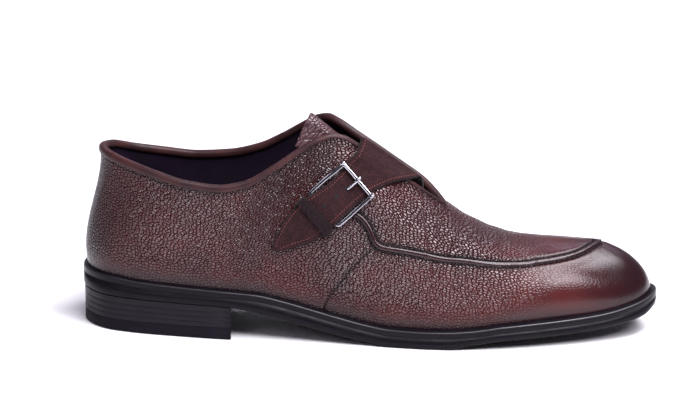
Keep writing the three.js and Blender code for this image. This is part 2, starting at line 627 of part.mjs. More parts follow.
// Apron seam: domed ribbon along its middle line
const apronSeam = (() => {
  const lift = GAP + APRON_THICK
  const pins = APRON.map(([side, a, t]) => onUpper(side, a, t, lift))
  const normals = APRON.map(([side, a, t], i) => onUpper(side, a, t, lift + 1).sub(pins[i]))
  const line = new THREE.CatmullRomCurve3(pins, false, 'centripetal')
  const lean = new THREE.CatmullRomCurve3(normals, false, 'centripetal')
  const steps = 2 * (APRON.length - 1), grid = []
  for (let i = 0; i <= steps; i++) {
    const p = line.getPoint(i / steps), n = lean.getPoint(i / steps).normalize()
    const across = line.getTangent(i / steps).cross(n).normalize()
    grid.push([-1, 0, 1].map(u => p.clone().addScaledVector(across, -u * APRON_WIDTH / 2)
      .addScaledVector(n, u ? 0 : APRON_DOME)))
  }
  return sheet(grid, APRON_THICK)
})()

// Height of the strap's outer face over the upper's outer face
const overBar = GAP + 2 * BAR_R + GAP + STRAP_THICK
const SEAT = {
  under: -WALL - BINDING_CLEAR - BINDING_THICK - 2 * GAP,
  edge: BINDING_CLEAR + BINDING_THICK + 2 * GAP + STRAP_THICK,
  flat: GAP + STRAP_THICK,
  rising: 0.45 * overBar + 0.55 * (GAP + STRAP_THICK),
  bar: overBar,
  falling: 0.5 * overBar + 0.5 * (GAP + STRAP_THICK),
  near: 0.2 * overBar + 0.8 * (GAP + STRAP_THICK),
}
const between = (p, q, u) => p.map((v, i) => v + (q[i] - v) * u)
const strap = (() => {
  const across = 4, steps = 2 * (STRAP.length - 1), grid = []
  const columns = []
  for (let j = 0; j <= across; j++) {
    columns.push(new THREE.CatmullRomCurve3(STRAP.map(row => {
      const [a, t] = between(row.a, row.b, j / across)
      const p = onUpper(row.side, a, t, SEAT[row.seat])
      const climb = surface(row.side, a, t).sub(surface(row.side, a, t - 0.05)).normalize()
      return p.addScaledVector(climb, STRAP_BRIDGE * (row.beyond ?? 0))
    }), false, 'centripetal'))
  }
  for (let i = 0; i <= steps; i++) grid.push(columns.map(c => c.getPoint(i / steps)))
  return sheet(grid.reverse(), STRAP_THICK)
})()

// Keeper: band over the strap with a leg each side
const strapKeeper = (() => {
  const outline = [
    [-0.085, 0], [-0.085, 0.75], [-0.030, 1], [0.25, 1], [0.5, 1],
    [0.75, 1], [1.030, 1], [1.085, 0.75], [1.085, 0],
  ]
  const edges = [[KEEPER.front, SEAT.bar], [KEEPER.back, SEAT.falling]]
  return sheet(edges.map(([[p, q], seat]) => outline.map(([u, high]) => {
    const [a, t] = between(p, q, u)
    return onUpper(-1, a, t, GAP + high * (seat + KEEPER_THICK + GAP / 2))
  })).reverse(), KEEPER_THICK)
})()

// Point in the buckle's own square: p along the bars, q from rear (-1) to front (1).
// Bars run straight between the corners and follow the upper only in height
function inFrame(p, q, lift) {
  const u = (p + 1) / 2, v = (q + 1) / 2
  const [a, t] = between(between(FRAME.left, FRAME.bottom, u), between(FRAME.top, FRAME.right, u), v)
  const corner = key => surface(-1, ...FRAME[key])
  const chord = corner('left').lerp(corner('bottom'), u).lerp(corner('top').lerp(corner('right'), u), v)
  const seat = onUpper(-1, a, t, 0)
  const out = onUpper(-1, a, t, 1).sub(seat)
  return chord.addScaledVector(out, seat.sub(chord).dot(out) + lift)
}
const frontLift = SEAT.flat + GAP + FRONT_BAR_R
const frameLift = q => {
  const u = Math.min(Math.max((q + 1) / 2, 0), 1)
  return (GAP + BAR_R) * (1 - u) + frontLift * u
}
function rod(path, loop) {
  const b = builder(), n = path.length
  const rings = path.map(({ at, out, r }, i) => {
    const next = path[loop ? (i + 1) % n : Math.min(i + 1, n - 1)].at
    const last = path[loop ? (i + n - 1) % n : Math.max(i - 1, 0)].at
    const along = next.clone().sub(last).normalize()
    const side = along.clone().cross(out).normalize(), up = side.clone().cross(along)
    return Array.from({ length: BAR_SIDES }, (_, j) => {
      const w = 2 * Math.PI * j / BAR_SIDES
      const q = at.clone().addScaledVector(side, r * Math.cos(w)).addScaledVector(up, r * Math.sin(w))
      return b.add(q.x, q.y, q.z)
    })
  })
  return tube(b, rings, loop)
}
const buckleFrame = (() => {
  const along = [-0.86, -0.43, 0, 0.43, 0.86], corner = 0.975, turns = [
    ...along.map(s => [s, 1]), [corner, corner], ...along.map(s => [1, -s]), [corner, -corner],
    ...along.map(s => [-s, -1]), [-corner, -corner], ...along.map(s => [-1, s]), [-corner, corner],
  ]
  return rod(turns.map(([p, q]) => {
    const x = p * FRAME_INSET, y = q * FRAME_INSET, at = inFrame(x, y, frameLift(q))
    const out = inFrame(x, y, frameLift(q) + 1).sub(at)
    return { at, out, r: q >= 1 ? FRONT_BAR_R : BAR_R }
  }), true)
})()
const buckleProng = (() => {
  const over = frontLift + FRONT_BAR_R + GAP + PRONG_R
  const low = SEAT.flat + GAP + PRONG_R
  const path = [
    [0.42, SEAT.rising + GAP + PRONG_R, 0.8], [0.53, low + 0.9, 1], [0.65, over - 0.6, 1], [0.78, over, 1],
    [0.90, over + 0.2, 1.1], [1.00, over, 1.1], [1.07, over - 0.5, 0.8],
  ]
  return rod(path.map(([q, lift, r]) => {
    const at = inFrame(0, q, lift)
    return { at, out: inFrame(0, q, lift + 1).sub(at), r: r * PRONG_R }
  }), false)
})()

const shoe = new THREE.Group()
const material = (color, roughness, metalness = 0) =>
  new THREE.MeshStandardMaterial({ color, roughness, metalness })
const burgundy = material(0x5a2320, 0.5)
const suede = material(0x3a2622, 0.95)
const edge = material(0x1c1718, 0.4)
const rubber = material(0x141314, 0.8)
const board = material(0x1b1a1b, 0.9)
const folded = material(0x4a2a20, 0.45)
const metal = material(0xd8d8da, 0.12, 1)

function part(name, geometry, look) {
  const mesh = new THREE.Mesh(geometry, look)
  mesh.name = name
  shoe.add(mesh)
}
part('heel_top_lift', heelTopLift, rubber)
part('heel_stack', heelStack, edge)
part('outsole', outsole, edge)
part('welt', welt, edge)
part('insole', insole, board)
part('upper', upper, burgundy)
part('collar_binding', binding, folded)
part('apron_seam', apronSeam, burgundy)
part('tongue', tongue, burgundy)
part('strap', strap, suede)
part('strap_keeper', strapKeeper, suede)
part('buckle_frame', buckleFrame, metal)
part('buckle_prong', buckleProng, metal)

const box = new THREE.Box3().setFromObject(shoe)
const shift = new THREE.Vector3(-(box.min.x + box.max.x) / 2, -(box.min.y + box.max.y) / 2, -box.min.z)
shoe.children.forEach(mesh => mesh.geometry.translate(shift.x, shift.y, shift.z))

export default shoe
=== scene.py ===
import bmesh
import bpy
import numpy as np
from math import radians, sin, cos, pi
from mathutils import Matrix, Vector


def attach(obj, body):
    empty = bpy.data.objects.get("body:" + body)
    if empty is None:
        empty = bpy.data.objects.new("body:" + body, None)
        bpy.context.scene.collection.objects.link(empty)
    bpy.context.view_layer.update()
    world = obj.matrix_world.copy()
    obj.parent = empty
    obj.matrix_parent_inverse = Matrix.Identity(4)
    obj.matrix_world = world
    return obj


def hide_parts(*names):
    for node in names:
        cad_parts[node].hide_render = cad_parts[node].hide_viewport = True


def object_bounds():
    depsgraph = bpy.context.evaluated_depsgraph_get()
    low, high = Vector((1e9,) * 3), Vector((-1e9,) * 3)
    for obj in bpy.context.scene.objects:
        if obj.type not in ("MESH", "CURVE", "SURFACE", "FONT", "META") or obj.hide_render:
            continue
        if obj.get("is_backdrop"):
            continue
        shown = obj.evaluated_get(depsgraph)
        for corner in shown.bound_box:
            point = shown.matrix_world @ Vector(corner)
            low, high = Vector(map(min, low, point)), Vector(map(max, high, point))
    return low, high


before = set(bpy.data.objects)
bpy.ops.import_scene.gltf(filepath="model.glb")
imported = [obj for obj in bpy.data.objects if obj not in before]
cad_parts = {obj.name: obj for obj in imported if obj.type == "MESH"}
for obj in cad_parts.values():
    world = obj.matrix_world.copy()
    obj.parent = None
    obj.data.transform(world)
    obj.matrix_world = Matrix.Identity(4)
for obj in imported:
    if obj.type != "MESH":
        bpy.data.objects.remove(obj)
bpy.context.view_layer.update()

# Sizes in millimetres, worked in the shoe's own frame: x from the heel back, y inner side, z up
LENGTH = 303.0
BALL_WIDTH = 103.0
HEEL_HEIGHT = 30.0
INSTEP_HEIGHT = 110.0
WALL = 2.2
GAP = 0.3
WELT_THICK = 3.2
WELT_RISE = 0.9
LIFT_THICK = 7.0
BREAST_AT = 0.272
BREAST_SLANT = 5.0
BREAST_HOLLOW = 3.0
UPPER_INSET = 4.6
TONGUE_REACH = 17.0
STRAP_BRIDGE = 4.2
SECTION_HEIGHT = 0.545
SECTION_GROWTH = 1.4
FULL_HANDLES_FROM = 0.6
STRAP_THICK = 1.8
BINDING_THICK = 0.7
BINDING_CLEAR = 0.5
END_SHARE = 0.22
NOTCH_AT = 0.64
BAR_R = 1.0
FRONT_BAR_R = 1.3
KEEPER_THICK = 1.1
PRONG_R = 0.9
MM = 0.001
JOIN = 1e-7                   # metres; points closer than this are one
TOE_EASE = 0.84, 0.985        # stations between which the crest's slope dies out


class Table:
    """Smooth curve through rows of named columns."""

    def __init__(self, columns, rows):
        self.names = columns.split()
        self.rows = np.array(rows, float)

    def __call__(self, name, at):
        x, y = self.rows[:, 0], self.rows[:, self.names.index(name)]
        at = np.clip(np.asarray(at, float), x[0], x[-1])
        rise = np.diff(y) / np.diff(x)
        m = np.zeros(len(x))
        both = rise[:-1] * rise[1:]
        safe = np.where(both > 0, rise[:-1] + rise[1:], 1)
        m[1:-1] = np.where(both > 0, 2 * both / safe, 0)
        i = np.clip(np.searchsorted(x, at, side="left") - 1, 0, len(x) - 2)
        h = x[i + 1] - x[i]
        u = (at - x[i]) / h
        return ((2 * u**3 - 3 * u**2 + 1) * y[i] + (u**3 - 2 * u**2 + u) * m[i] * h
                + (3 * u**2 - 2 * u**3) * y[i + 1] + (u**3 - u**2) * m[i + 1] * h)


# Sole outline: x share of LENGTH, y share of BALL_WIDTH
OUTLINE = [
  [1.000, 0.012], [0.994, -0.090], [0.976, -0.168], [0.945, -0.238], [0.900, -0.305],
  [0.830, -0.380], [0.735, -0.456], [0.628, -0.478], [0.500, -0.440], [0.380, -0.408],
  [0.258, -0.392], [0.180, -0.360], [0.105, -0.318], [0.045, -0.250], [0.010, -0.130],
  [0.000, 0.000], [0.010, 0.130], [0.045, 0.240], [0.105, 0.292], [0.180, 0.290],
  [0.258, 0.262], [0.380, 0.238], [0.480, 0.290], [0.580, 0.440], [0.680, 0.522],
  [0.760, 0.503], [0.850, 0.418], [0.915, 0.322], [0.958, 0.235], [0.985, 0.142],
]
SOLE = Table("x bottom rim", [
  [0.000, 0.630, 1.000], [0.045, 0.627, 1.000], [0.110, 0.615, 0.945], [0.180, 0.603, 0.910],
  [0.258, 0.590, 0.876], [0.315, 0.500, 0.836], [0.362, 0.385, 0.740], [0.412, 0.265, 0.612],
  [0.462, 0.150, 0.487], [0.510, 0.060, 0.380], [0.545, 0.000, 0.330], [0.600, 0.000, 0.315],
  [0.640, 0.000, 0.320], [0.690, 0.085, 0.352], [0.740, 0.155, 0.415], [0.838, 0.200, 0.473],
  [0.905, 0.252, 0.520], [0.950, 0.305, 0.590], [0.980, 0.365, 0.660], [1.000, 0.450, 0.725],
])
EXTENSION = Table("x inset", [
  [0.00, 0.65], [0.10, 0.63], [0.26, 0.72], [0.45, 0.83],
  [0.62, 1.00], [0.80, 1.00], [0.93, 0.87], [1.00, 0.78],
])
CREST = Table("at x y z", [
  [0.640, 0.636, -0.072, 0.607], [0.660, 0.660, -0.066, 0.558], [0.700, 0.704, -0.056, 0.488],
  [0.740, 0.745, -0.046, 0.450], [0.790, 0.790, -0.034, 0.440], [0.840, 0.828, -0.022, 0.438],
  [0.900, 0.862, -0.010, 0.434], [0.950, 0.880, -0.002, 0.428], [1.000, 0.886, 0.000, 0.425],
])
RIM = Table("at x y z", [
  [-0.640, 0.636, -0.072, 0.607], [-0.610, 0.605, -0.105, 0.672], [-0.570, 0.567, -0.136, 0.752],
  [-0.525, 0.520, -0.156, 0.850], [-0.490, 0.487, -0.172, 0.915], [-0.465, 0.462, -0.190, 0.958],
  [-0.445, 0.443, -0.208, 0.970], [-0.420, 0.420, -0.226, 0.956], [-0.385, 0.386, -0.250, 0.905],
  [-0.340, 0.343, -0.284, 0.826], [-0.290, 0.292, -0.316, 0.752], [-0.250, 0.252, -0.328, 0.735],
  [-0.195, 0.195, -0.324, 0.752], [-0.140, 0.140, -0.288, 0.788], [-0.085, 0.088, -0.222, 0.823],
  [-0.040, 0.048, -0.125, 0.846], [0.000, 0.033, 0.000, 0.848], [0.040, 0.046, 0.110, 0.838],
  [0.085, 0.082, 0.200, 0.803], [0.140, 0.136, 0.248, 0.775], [0.195, 0.190, 0.268, 0.757],
  [0.250, 0.250, 0.264, 0.768], [0.300, 0.302, 0.246, 0.806], [0.345, 0.345, 0.220, 0.868],
  [0.380, 0.380, 0.190, 0.930], [0.410, 0.408, 0.148, 0.978], [0.435, 0.430, 0.096, 0.996],
  [0.455, 0.450, 0.060, 0.978], [0.485, 0.478, 0.030, 0.934], [0.525, 0.521, 0.000, 0.863],
  [0.560, 0.558, -0.022, 0.798], [0.600, 0.596, -0.045, 0.728], [0.625, 0.618, -0.058, 0.668],
  [0.640, 0.636, -0.072, 0.607],
])
SHAPE = Table("at rise bulge out drop", [
  [-1.00, 0.118, 0.034, 0.165, 0.005], [-0.95, 0.127, 0.034, 0.165, 0.005],
  [-0.90, 0.136, 0.039, 0.165, 0.005], [-0.80, 0.173, 0.044, 0.233, 0.000],
  [-0.70, 0.200, 0.053, 0.262, 0.000], [-0.64, 0.227, 0.053, 0.223, 0.018],
  [-0.57, 0.273, 0.049, 0.175, 0.109], [-0.48, 0.309, 0.029, 0.126, 0.182],
  [-0.40, 0.291, 0.019, 0.078, 0.236], [-0.30, 0.236, 0.029, 0.029, 0.200],
  [-0.18, 0.218, 0.049, 0.019, 0.182], [-0.08, 0.218, 0.063, 0.010, 0.200],
  [0.00, 0.200, 0.063, -0.010, 0.218], [0.08, 0.218, 0.058, 0.010, 0.200],
  [0.18, 0.218, 0.034, 0.029, 0.182], [0.30, 0.255, 0.000, 0.039, 0.200],
  [0.40, 0.327, -0.029, 0.078, 0.255], [0.46, 0.327, -0.019, 0.175, 0.109],
  [0.54, 0.291, 0.039, 0.214, 0.018], [0.64, 0.236, 0.058, 0.233, 0.000],
  [0.70, 0.209, 0.058, 0.272, 0.000], [0.80, 0.173, 0.044, 0.252, 0.000],
  [0.90, 0.136, 0.039, 0.165, 0.005], [0.95, 0.127, 0.034, 0.165, 0.005],
  [1.00, 0.118, 0.034, 0.165, 0.005],
])
# Line of the apron seam: side, station, height share
APRON = [
  [-1, 0.490, 0.532], [-1, 0.503, 0.515], [-1, 0.512, 0.485], [-1, 0.517, 0.450], [-1, 0.521, 0.418],
  [-1, 0.528, 0.402], [-1, 0.542, 0.410], [-1, 0.562, 0.435], [-1, 0.590, 0.458], [-1, 0.620, 0.485],
  [-1, 0.650, 0.512], [-1, 0.690, 0.562], [-1, 0.735, 0.612], [-1, 0.765, 0.638], [-1, 0.790, 0.657],
  [-1, 0.825, 0.692], [-1, 0.860, 0.742], [-1, 0.905, 0.825], [-1, 0.950, 0.895],
  [1, 1.000, 0.942], [1, 0.950, 0.890], [1, 0.905, 0.820], [1, 0.860, 0.740], [1, 0.825, 0.690],
  [1, 0.790, 0.655], [1, 0.765, 0.635], [1, 0.735, 0.610], [1, 0.690, 0.560], [1, 0.650, 0.520],
  [1, 0.620, 0.500], [1, 0.590, 0.485], [1, 0.560, 0.475],
]


def catmull(pins, count, closed=False):
    """Centripetal curve through pins, count samples."""
    p = np.array(pins, float)
    if p.shape[1] == 2:
        p = np.c_[p, np.zeros(len(p))]
    n = len(p)
    segments = n if closed else n - 1
    if closed:
        ext = np.vstack([p[-1:], p, p[:2]])
    else:
        ext = np.vstack([2 * p[:1] - p[1:2], p, 2 * p[-1:] - p[-2:-1]])
    s = np.linspace(0, segments, count, endpoint=not closed)
    i = np.minimum(s.astype(int), segments - 1)
    u = (s - i)[:, None]
    a, b, c, d = ext[i], ext[i + 1], ext[i + 2], ext[i + 3]
    gap = lambda q, r: np.maximum(np.linalg.norm(r - q, axis=1), 1e-9)[:, None] ** 0.5
    t0, t1, t2 = gap(a, b), gap(b, c), gap(c, d)
    m1 = ((b - a) / t0 - (c - a) / (t0 + t1) + (c - b) / t1) * t1
    m2 = ((c - b) / t1 - (d - b) / (t1 + t2) + (d - c) / t2) * t1
    return ((2 * u**3 - 3 * u**2 + 1) * b + (u**3 - 2 * u**2 + u) * m1
            + (3 * u**2 - 2 * u**3) * c + (u**3 - u**2) * m2)


def unit(v):
    return v / np.maximum(np.linalg.norm(v, axis=-1, keepdims=True), 1e-9)


def outline_loop(count=1800):
    p = catmull([[x * LENGTH, y * BALL_WIDTH] for x, y in OUTLINE], count, True)[:, :2]
    t = unit(np.roll(p, -1, 0) - np.roll(p, 1, 0))
    return p, np.c_[-t[:, 1], t[:, 0]]


LOOP, LOOP_N = outline_loop()
SHIFT = np.array([-(LOOP[:, 0].min() + LOOP[:, 0].max()) / 2,
                  -(LOOP[:, 1].min() + LOOP[:, 1].max()) / 2, 0.0])


def halves(inset):
    d = inset(LOOP[:, 0] / LENGTH)[:, None]
    p = LOOP - LOOP_N * d
    n, toe, heel = len(p), int(p[:, 0].argmax()), int(p[:, 0].argmin())
    lines = {}
    for side, step in ((-1, 1), (1, -1)):
        ids = [toe]
        while ids[-1] != heel:
            ids.append((ids[-1] + step) % n)
        x = np.minimum.accumulate(p[ids, 0])
        keep = np.r_[True, np.diff(x) < -1e-9]
        ids = np.array(ids)[keep][::-1]
        lines[side] = (p[ids, 0], p[ids, 1], LOOP_N[ids, 0], LOOP_N[ids, 1])

    def at(side, share):
        x, y, nx, ny = lines[side]
        q = x[0] + (x[-1] - x[0]) * np.clip(share, 0, 1)
        return q, np.interp(q, x, y), np.interp(q, x, nx), np.interp(q, x, ny)

    return at


def share_at(a):
    c = 1 / (1 - END_SHARE)
    return np.where(a < END_SHARE, c * a * a / (2 * END_SHARE),
                    np.where(a > 1 - END_SHARE, 1 - c * (1 - a) ** 2 / (2 * END_SHARE),
                             c * (a - END_SHARE / 2)))


def bottom_z(x):
    return SOLE("bottom", x / LENGTH) * HEEL_HEIGHT


def rim_z(x):
    return SOLE("rim", x / LENGTH) * HEEL_HEIGHT


def seam_z(x):
    return rim_z(x) - WELT_THICK - GAP


feather = halves(lambda x: EXTENSION("inset", x) * UPPER_INSET)


def top_point(side, a):
    front = a >= NOTCH_AT
    pick = lambda c: np.where(front, CREST(c, a), RIM(c, side * a))
    return np.stack([pick("x") * LENGTH, pick("y") * BALL_WIDTH, pick("z") * INSTEP_HEIGHT], -1)


def crest_slope(a):
    e = 0.004
    lo, hi = top_point(1, np.maximum(a - e, NOTCH_AT)), top_point(1, np.minimum(a + e, 1.0))
    dx = hi[..., 0] - lo[..., 0]
    ok = (a >= NOTCH_AT) & (dx > 0.05)
    return np.where(ok, (hi[..., 2] - lo[..., 2]) / np.where(ok, dx, 1), 0) * (1 - smooth(a, *TOE_EASE))


def surface(side, a, t):
    """Outer face of the upper. a: station 0 heel to 1 toe, t: 0 foot to 1 top edge."""
    a, t = np.broadcast_arrays(np.asarray(a, float), np.asarray(t, float))
    a = np.clip(a, 0, 1)
    x, y, nx, ny = feather(side, share_at(a))
    foot = np.stack([x, y, seam_z(x) + GAP], -1)
    top, at = top_point(side, a), side * a
    n = unit(np.stack([nx, ny, 0 * nx], -1))
    low = foot + n * SHAPE("bulge", at)[..., None] * BALL_WIDTH
    height = np.minimum((top[..., 2] - foot[..., 2]) / (SECTION_HEIGHT * INSTEP_HEIGHT), SECTION_GROWTH)
    low[..., 2] += SHAPE("rise", at) * INSTEP_HEIGHT * np.where(a > FULL_HANDLES_FROM, 1, height)
    out = SHAPE("out", at) * BALL_WIDTH
    high = top + n * out[..., None]
    high[..., 2] += crest_slope(a) * out * n[..., 0] - SHAPE("drop", at) * INSTEP_HEIGHT
    t = t[..., None]
    s = 1 - t
    return foot * s**3 + 3 * low * s * s * t + 3 * high * s * t * t + top * t**3


def normal_at(side, a, t):
    e = 0.002
    along = surface(side, np.minimum(a + e, 1), t) - surface(side, np.maximum(a - e, 0), t)
    rise = surface(side, a, np.minimum(t + e, 1)) - surface(side, a, np.maximum(t - e, 0))
    return unit(np.cross(along, rise)) * (1 if side < 0 else -1)


def on_upper(side, a, t, lift):
    return surface(side, a, t) + normal_at(side, np.asarray(a, float), np.asarray(t, float)) * lift


def smooth(x, lo, hi):
    u = np.clip((x - lo) / (hi - lo), 0, 1)
    return u * u * (3 - 2 * u)


# Mesh helpers


def in_scene(points):
    """Shoe millimetres to scene metres."""
    return (points + SHIFT) * MM


def pulled_grids(name, grids, marks=None, solid=False, place=in_scene, rounded=True):
    """Piece from flat grids pulled onto rows x cols points; equal points are joined. A solid's open ends are
    filled and its faces turned outwards. marks holds point attributes, one array for each grid."""
    b = bmesh.new()
    layers = {key: b.verts.layers.float.new(key) for key in marks or {}}
    for k, points in enumerate(grids):
        rows, cols = points.shape[:2]
        made = bmesh.ops.create_grid(b, x_segments=cols - 1, y_segments=rows - 1, size=1)["verts"]
        for v, at in zip(made, place(points.reshape(-1, 3)).tolist()):
            v.co = at
        for key, layer in layers.items():
            for v, value in zip(made, np.ravel(marks[key][k]).tolist()):
                v[layer] = value
    bmesh.ops.remove_doubles(b, verts=b.verts, dist=JOIN)
    if solid:
        bmesh.ops.holes_fill(b, edges=[e for e in b.edges if e.is_boundary], sides=0)
        bmesh.ops.recalc_face_normals(b, faces=b.faces)
    for face in b.faces:
        face.smooth = rounded
    mesh = bpy.data.meshes.new(name)
    b.to_mesh(mesh)
    b.free()
    obj = bpy.data.objects.new(name, mesh)
    bpy.context.scene.collection.objects.link(obj)
    return obj


def ringed(rings, closed=False):
    """Repeats the first point of each ring, and the first ring of a closed run."""
    rings = np.asarray(rings, float)
    rings = np.concatenate([rings, rings[:, :1]], 1)
    return np.concatenate([rings, rings[:1]]) if closed else rings


def loft(name, rings, closed=False, edge=None):
    """Solid through rings of points; open runs get flat ends. edge marks the points of cut edges."""
    marks = None if edge is None else {"edge": [ringed(edge, closed)]}
    return pulled_grids(name, [ringed(rings, closed)], marks, solid=True)


def point_values(obj, **values):
    for key, value in values.items():
        layer = obj.data.attributes.new(key, "FLOAT", "POINT")
        layer.data.foreach_set("value", np.broadcast_to(value, len(obj.data.vertices)).astype(float))


def frames_along(path, out, closed=False):
    along = np.roll(path, -1, 0) - np.roll(path, 1, 0)
    if not closed:
        along[0], along[-1] = path[1] - path[0], path[-1] - path[-2]
    along = unit(along)
    side = unit(np.cross(along, out))
    return along, side, np.cross(side, along)


def rod(name, path, out, radius, closed=False, sides=14, flat=1.0, square=2.0):
    """Bar along a path. square is 2 for a round section and more for a squarer one, also one per point."""
    along, side, up = frames_along(path, out, closed)
    w = np.linspace(0, 2 * pi, sides, endpoint=False)
    power = np.broadcast_to(square, len(path))[:, None]
    swell = (np.abs(np.cos(w)) ** power + np.abs(np.sin(w)) ** power) ** (-1 / power)
    r = np.broadcast_to(radius, len(path))[:, None, None] * swell[..., None]
    rings = path[:, None] + r * (side[:, None] * np.cos(w)[None, :, None]
                                 + flat * up[:, None] * np.sin(w)[None, :, None])
    return loft(name, rings, closed)


# Pitch, length and radius of the stitches
COLLAR_STITCH = 1.9, 1.3, 0.15
APRON_STITCH = 3.1, 2.6, 0.45
SIDE_STITCH = 1.7, 1.25, 0.2
STRAP_STITCH = 1.6, 1.0, 0.23
STITCH_DIP = np.array([-0.7, 0.1, 0.25, 0.1, -0.7]) * 1.6
STITCH_SWELL = np.array([0.5, 1, 1.1, 1, 0.5])[:, None, None]
STITCH_SIDES = 6


def walked(path):
    """Distance along a path at each of its points."""
    return np.r_[0, np.cumsum(np.linalg.norm(np.diff(path, axis=0), axis=1))]


def stitches(name, path, out, pitch, size, radius):
    """Row of short threads along a path; out is the surface normal at each path point."""
    step = walked(path)
    grids = []
    w = np.linspace(0, 2 * pi, STITCH_SIDES, endpoint=False)
    for s in np.arange(pitch / 2, step[-1] - size, pitch):
        at = np.linspace(s, s + size, len(STITCH_DIP))
        p = np.stack([np.interp(at, step, path[:, k]) for k in range(3)], 1)
        n = unit(np.stack([np.interp(at, step, out[:, k]) for k in range(3)], 1))
        p = p + n * (STITCH_DIP * radius)[:, None]
        along, side, up = frames_along(p, n)
        grids.append(ringed(p[:, None] + radius * STITCH_SWELL * (side[:, None] * np.cos(w)[None, :, None]
                                                                  + up[:, None] * np.sin(w)[None, :, None])))
    return pulled_grids(name, grids, solid=True)


def resample_count(path, n):
    step = walked(path)
    at = np.linspace(0, step[-1], n)
    return np.stack([np.interp(at, step, path[:, k]) for k in range(path.shape[1])], 1)


def resample(path, spacing):
    return resample_count(path, max(int(walked(path)[-1] / spacing), 2))


def spread(values, n):
    """values interpolated to n rows, in equal steps of their index."""
    at, given = np.linspace(0, 1, n), np.linspace(0, 1, len(values))
    return np.stack([np.interp(at, given, values[:, k]) for k in range(values.shape[1])], 1)


def distance(points, line):
    """Distance from points to a polyline."""
    best = np.full(len(points), 1e9)
    for p, q in zip(line[:-1], line[1:]):
        d = q - p
        u = np.clip(((points - p) @ d) / (d @ d), 0, 1)
        best = np.minimum(best, np.linalg.norm(points - p - u[:, None] * d, axis=1))
    return best


def grid_normals(grid):
    """Vertex normals of a rows x cols grid of points."""
    r = np.gradient(grid, axis=0)
    c = np.gradient(grid, axis=1)
    return unit(np.cross(r, c))


# Materials


class Nodes:
    """Small helper over one node tree."""

    def __init__(self, name):
        self.material = bpy.data.materials.new(name)
        self.material.use_nodes = True
        self.tree = self.material.node_tree
        self.tree.nodes.clear()
        self.out = self.tree.nodes.new("ShaderNodeOutputMaterial")
        self.bsdf = self.tree.nodes.new("ShaderNodeBsdfPrincipled")
        self.tree.links.new(self.bsdf.outputs[0], self.out.inputs[0])
        self.place = self.tree.nodes.new("ShaderNodeTexCoord").outputs["Object"]

    def feed(self, value, socket):
        if hasattr(value, "is_output"):
            self.tree.links.new(value, socket)
        elif isinstance(value, (tuple, list)):
            socket.default_value = tuple(value) + (1.0,) * (len(socket.default_value) - len(value))
        else:
            socket.default_value = value

    def set(self, **values):
        names = {"color": "Base Color", "rough": "Roughness", "metal": "Metallic", "normal": "Normal",
                 "coat": "Coat Weight", "coat_rough": "Coat Roughness", "sheen": "Sheen Weight",
                 "sheen_rough": "Sheen Roughness", "spec": "Specular IOR Level"}
        for key, value in values.items():
            self.feed(value, self.bsdf.inputs[names[key]])

    def math(self, kind, a, b=0.0, clamp=False):
        n = self.tree.nodes.new("ShaderNodeMath")
        n.operation, n.use_clamp = kind, clamp
        self.feed(a, n.inputs[0])
        self.feed(b, n.inputs[1])
        return n.outputs[0]

    def vector(self, kind, a, b):
        n = self.tree.nodes.new("ShaderNodeVectorMath")
        n.operation = kind
        self.feed(a, n.inputs[0])
        self.feed(b, n.inputs[1])
        return n.outputs[0]

    def noise(self, scale, detail=3.0, rough=0.55, where=None, color=False):
        n = self.tree.nodes.new("ShaderNodeTexNoise")
        self.feed(where or self.place, n.inputs["Vector"])
        self.feed(scale, n.inputs["Scale"])
        n.inputs["Detail"].default_value = detail
        n.inputs["Roughness"].default_value = rough
        return n.outputs["Color" if color else "Fac"]

    def cells(self, scale, feature, where, random=1.0):
        n = self.tree.nodes.new("ShaderNodeTexVoronoi")
        n.voronoi_dimensions = "2D"
        n.feature = feature
        self.feed(where, n.inputs["Vector"])
        self.feed(scale, n.inputs["Scale"])
        n.inputs["Randomness"].default_value = random
        return n.outputs[0]

    def band(self, value, lo, hi, to_lo=0.0, to_hi=1.0):
        n = self.tree.nodes.new("ShaderNodeMapRange")
        n.interpolation_type = "SMOOTHSTEP"
        for key, given in (("Value", value), ("From Min", lo), ("From Max", hi),
                           ("To Min", to_lo), ("To Max", to_hi)):
            self.feed(given, n.inputs[key])
        return n.outputs[0]

    def mix(self, factor, a, b, kind="MIX"):
        n = self.tree.nodes.new("ShaderNodeMix")
        n.data_type, n.blend_type = "RGBA", kind
        self.feed(factor, n.inputs[0])
        self.feed(a, n.inputs[6])
        self.feed(b, n.inputs[7])
        return n.outputs[2]

    def scaled(self, value, by):
        n = self.tree.nodes.new("ShaderNodeVectorMath")
        n.operation = "SCALE"
        self.feed(value, n.inputs[0])
        n.inputs[3].default_value = by
        return n.outputs[0]

    def attribute(self, name):
        n = self.tree.nodes.new("ShaderNodeAttribute")
        n.attribute_name = name
        return n.outputs["Fac"]

    def bump(self, height, strength, depth):
        n = self.tree.nodes.new("ShaderNodeBump")
        self.feed(height, n.inputs["Height"])
        self.feed(strength, n.inputs["Strength"])
        n.inputs["Distance"].default_value = depth
        return n.outputs[0]


def rgb(r, g, b):
    """Eye colour 0-255 to linear."""
    f = lambda c: c / 12.92 if c <= 0.04045 else ((c + 0.055) / 1.055) ** 2.4
    return tuple(f(c / 255) for c in (r, g, b))


PEBBLES = 590.0        # cells across a metre of skin
PEBBLE_DEPTH = 0.00024
SHADOW = 0.15          # share of the colour that stays in a seam, gap or cut edge


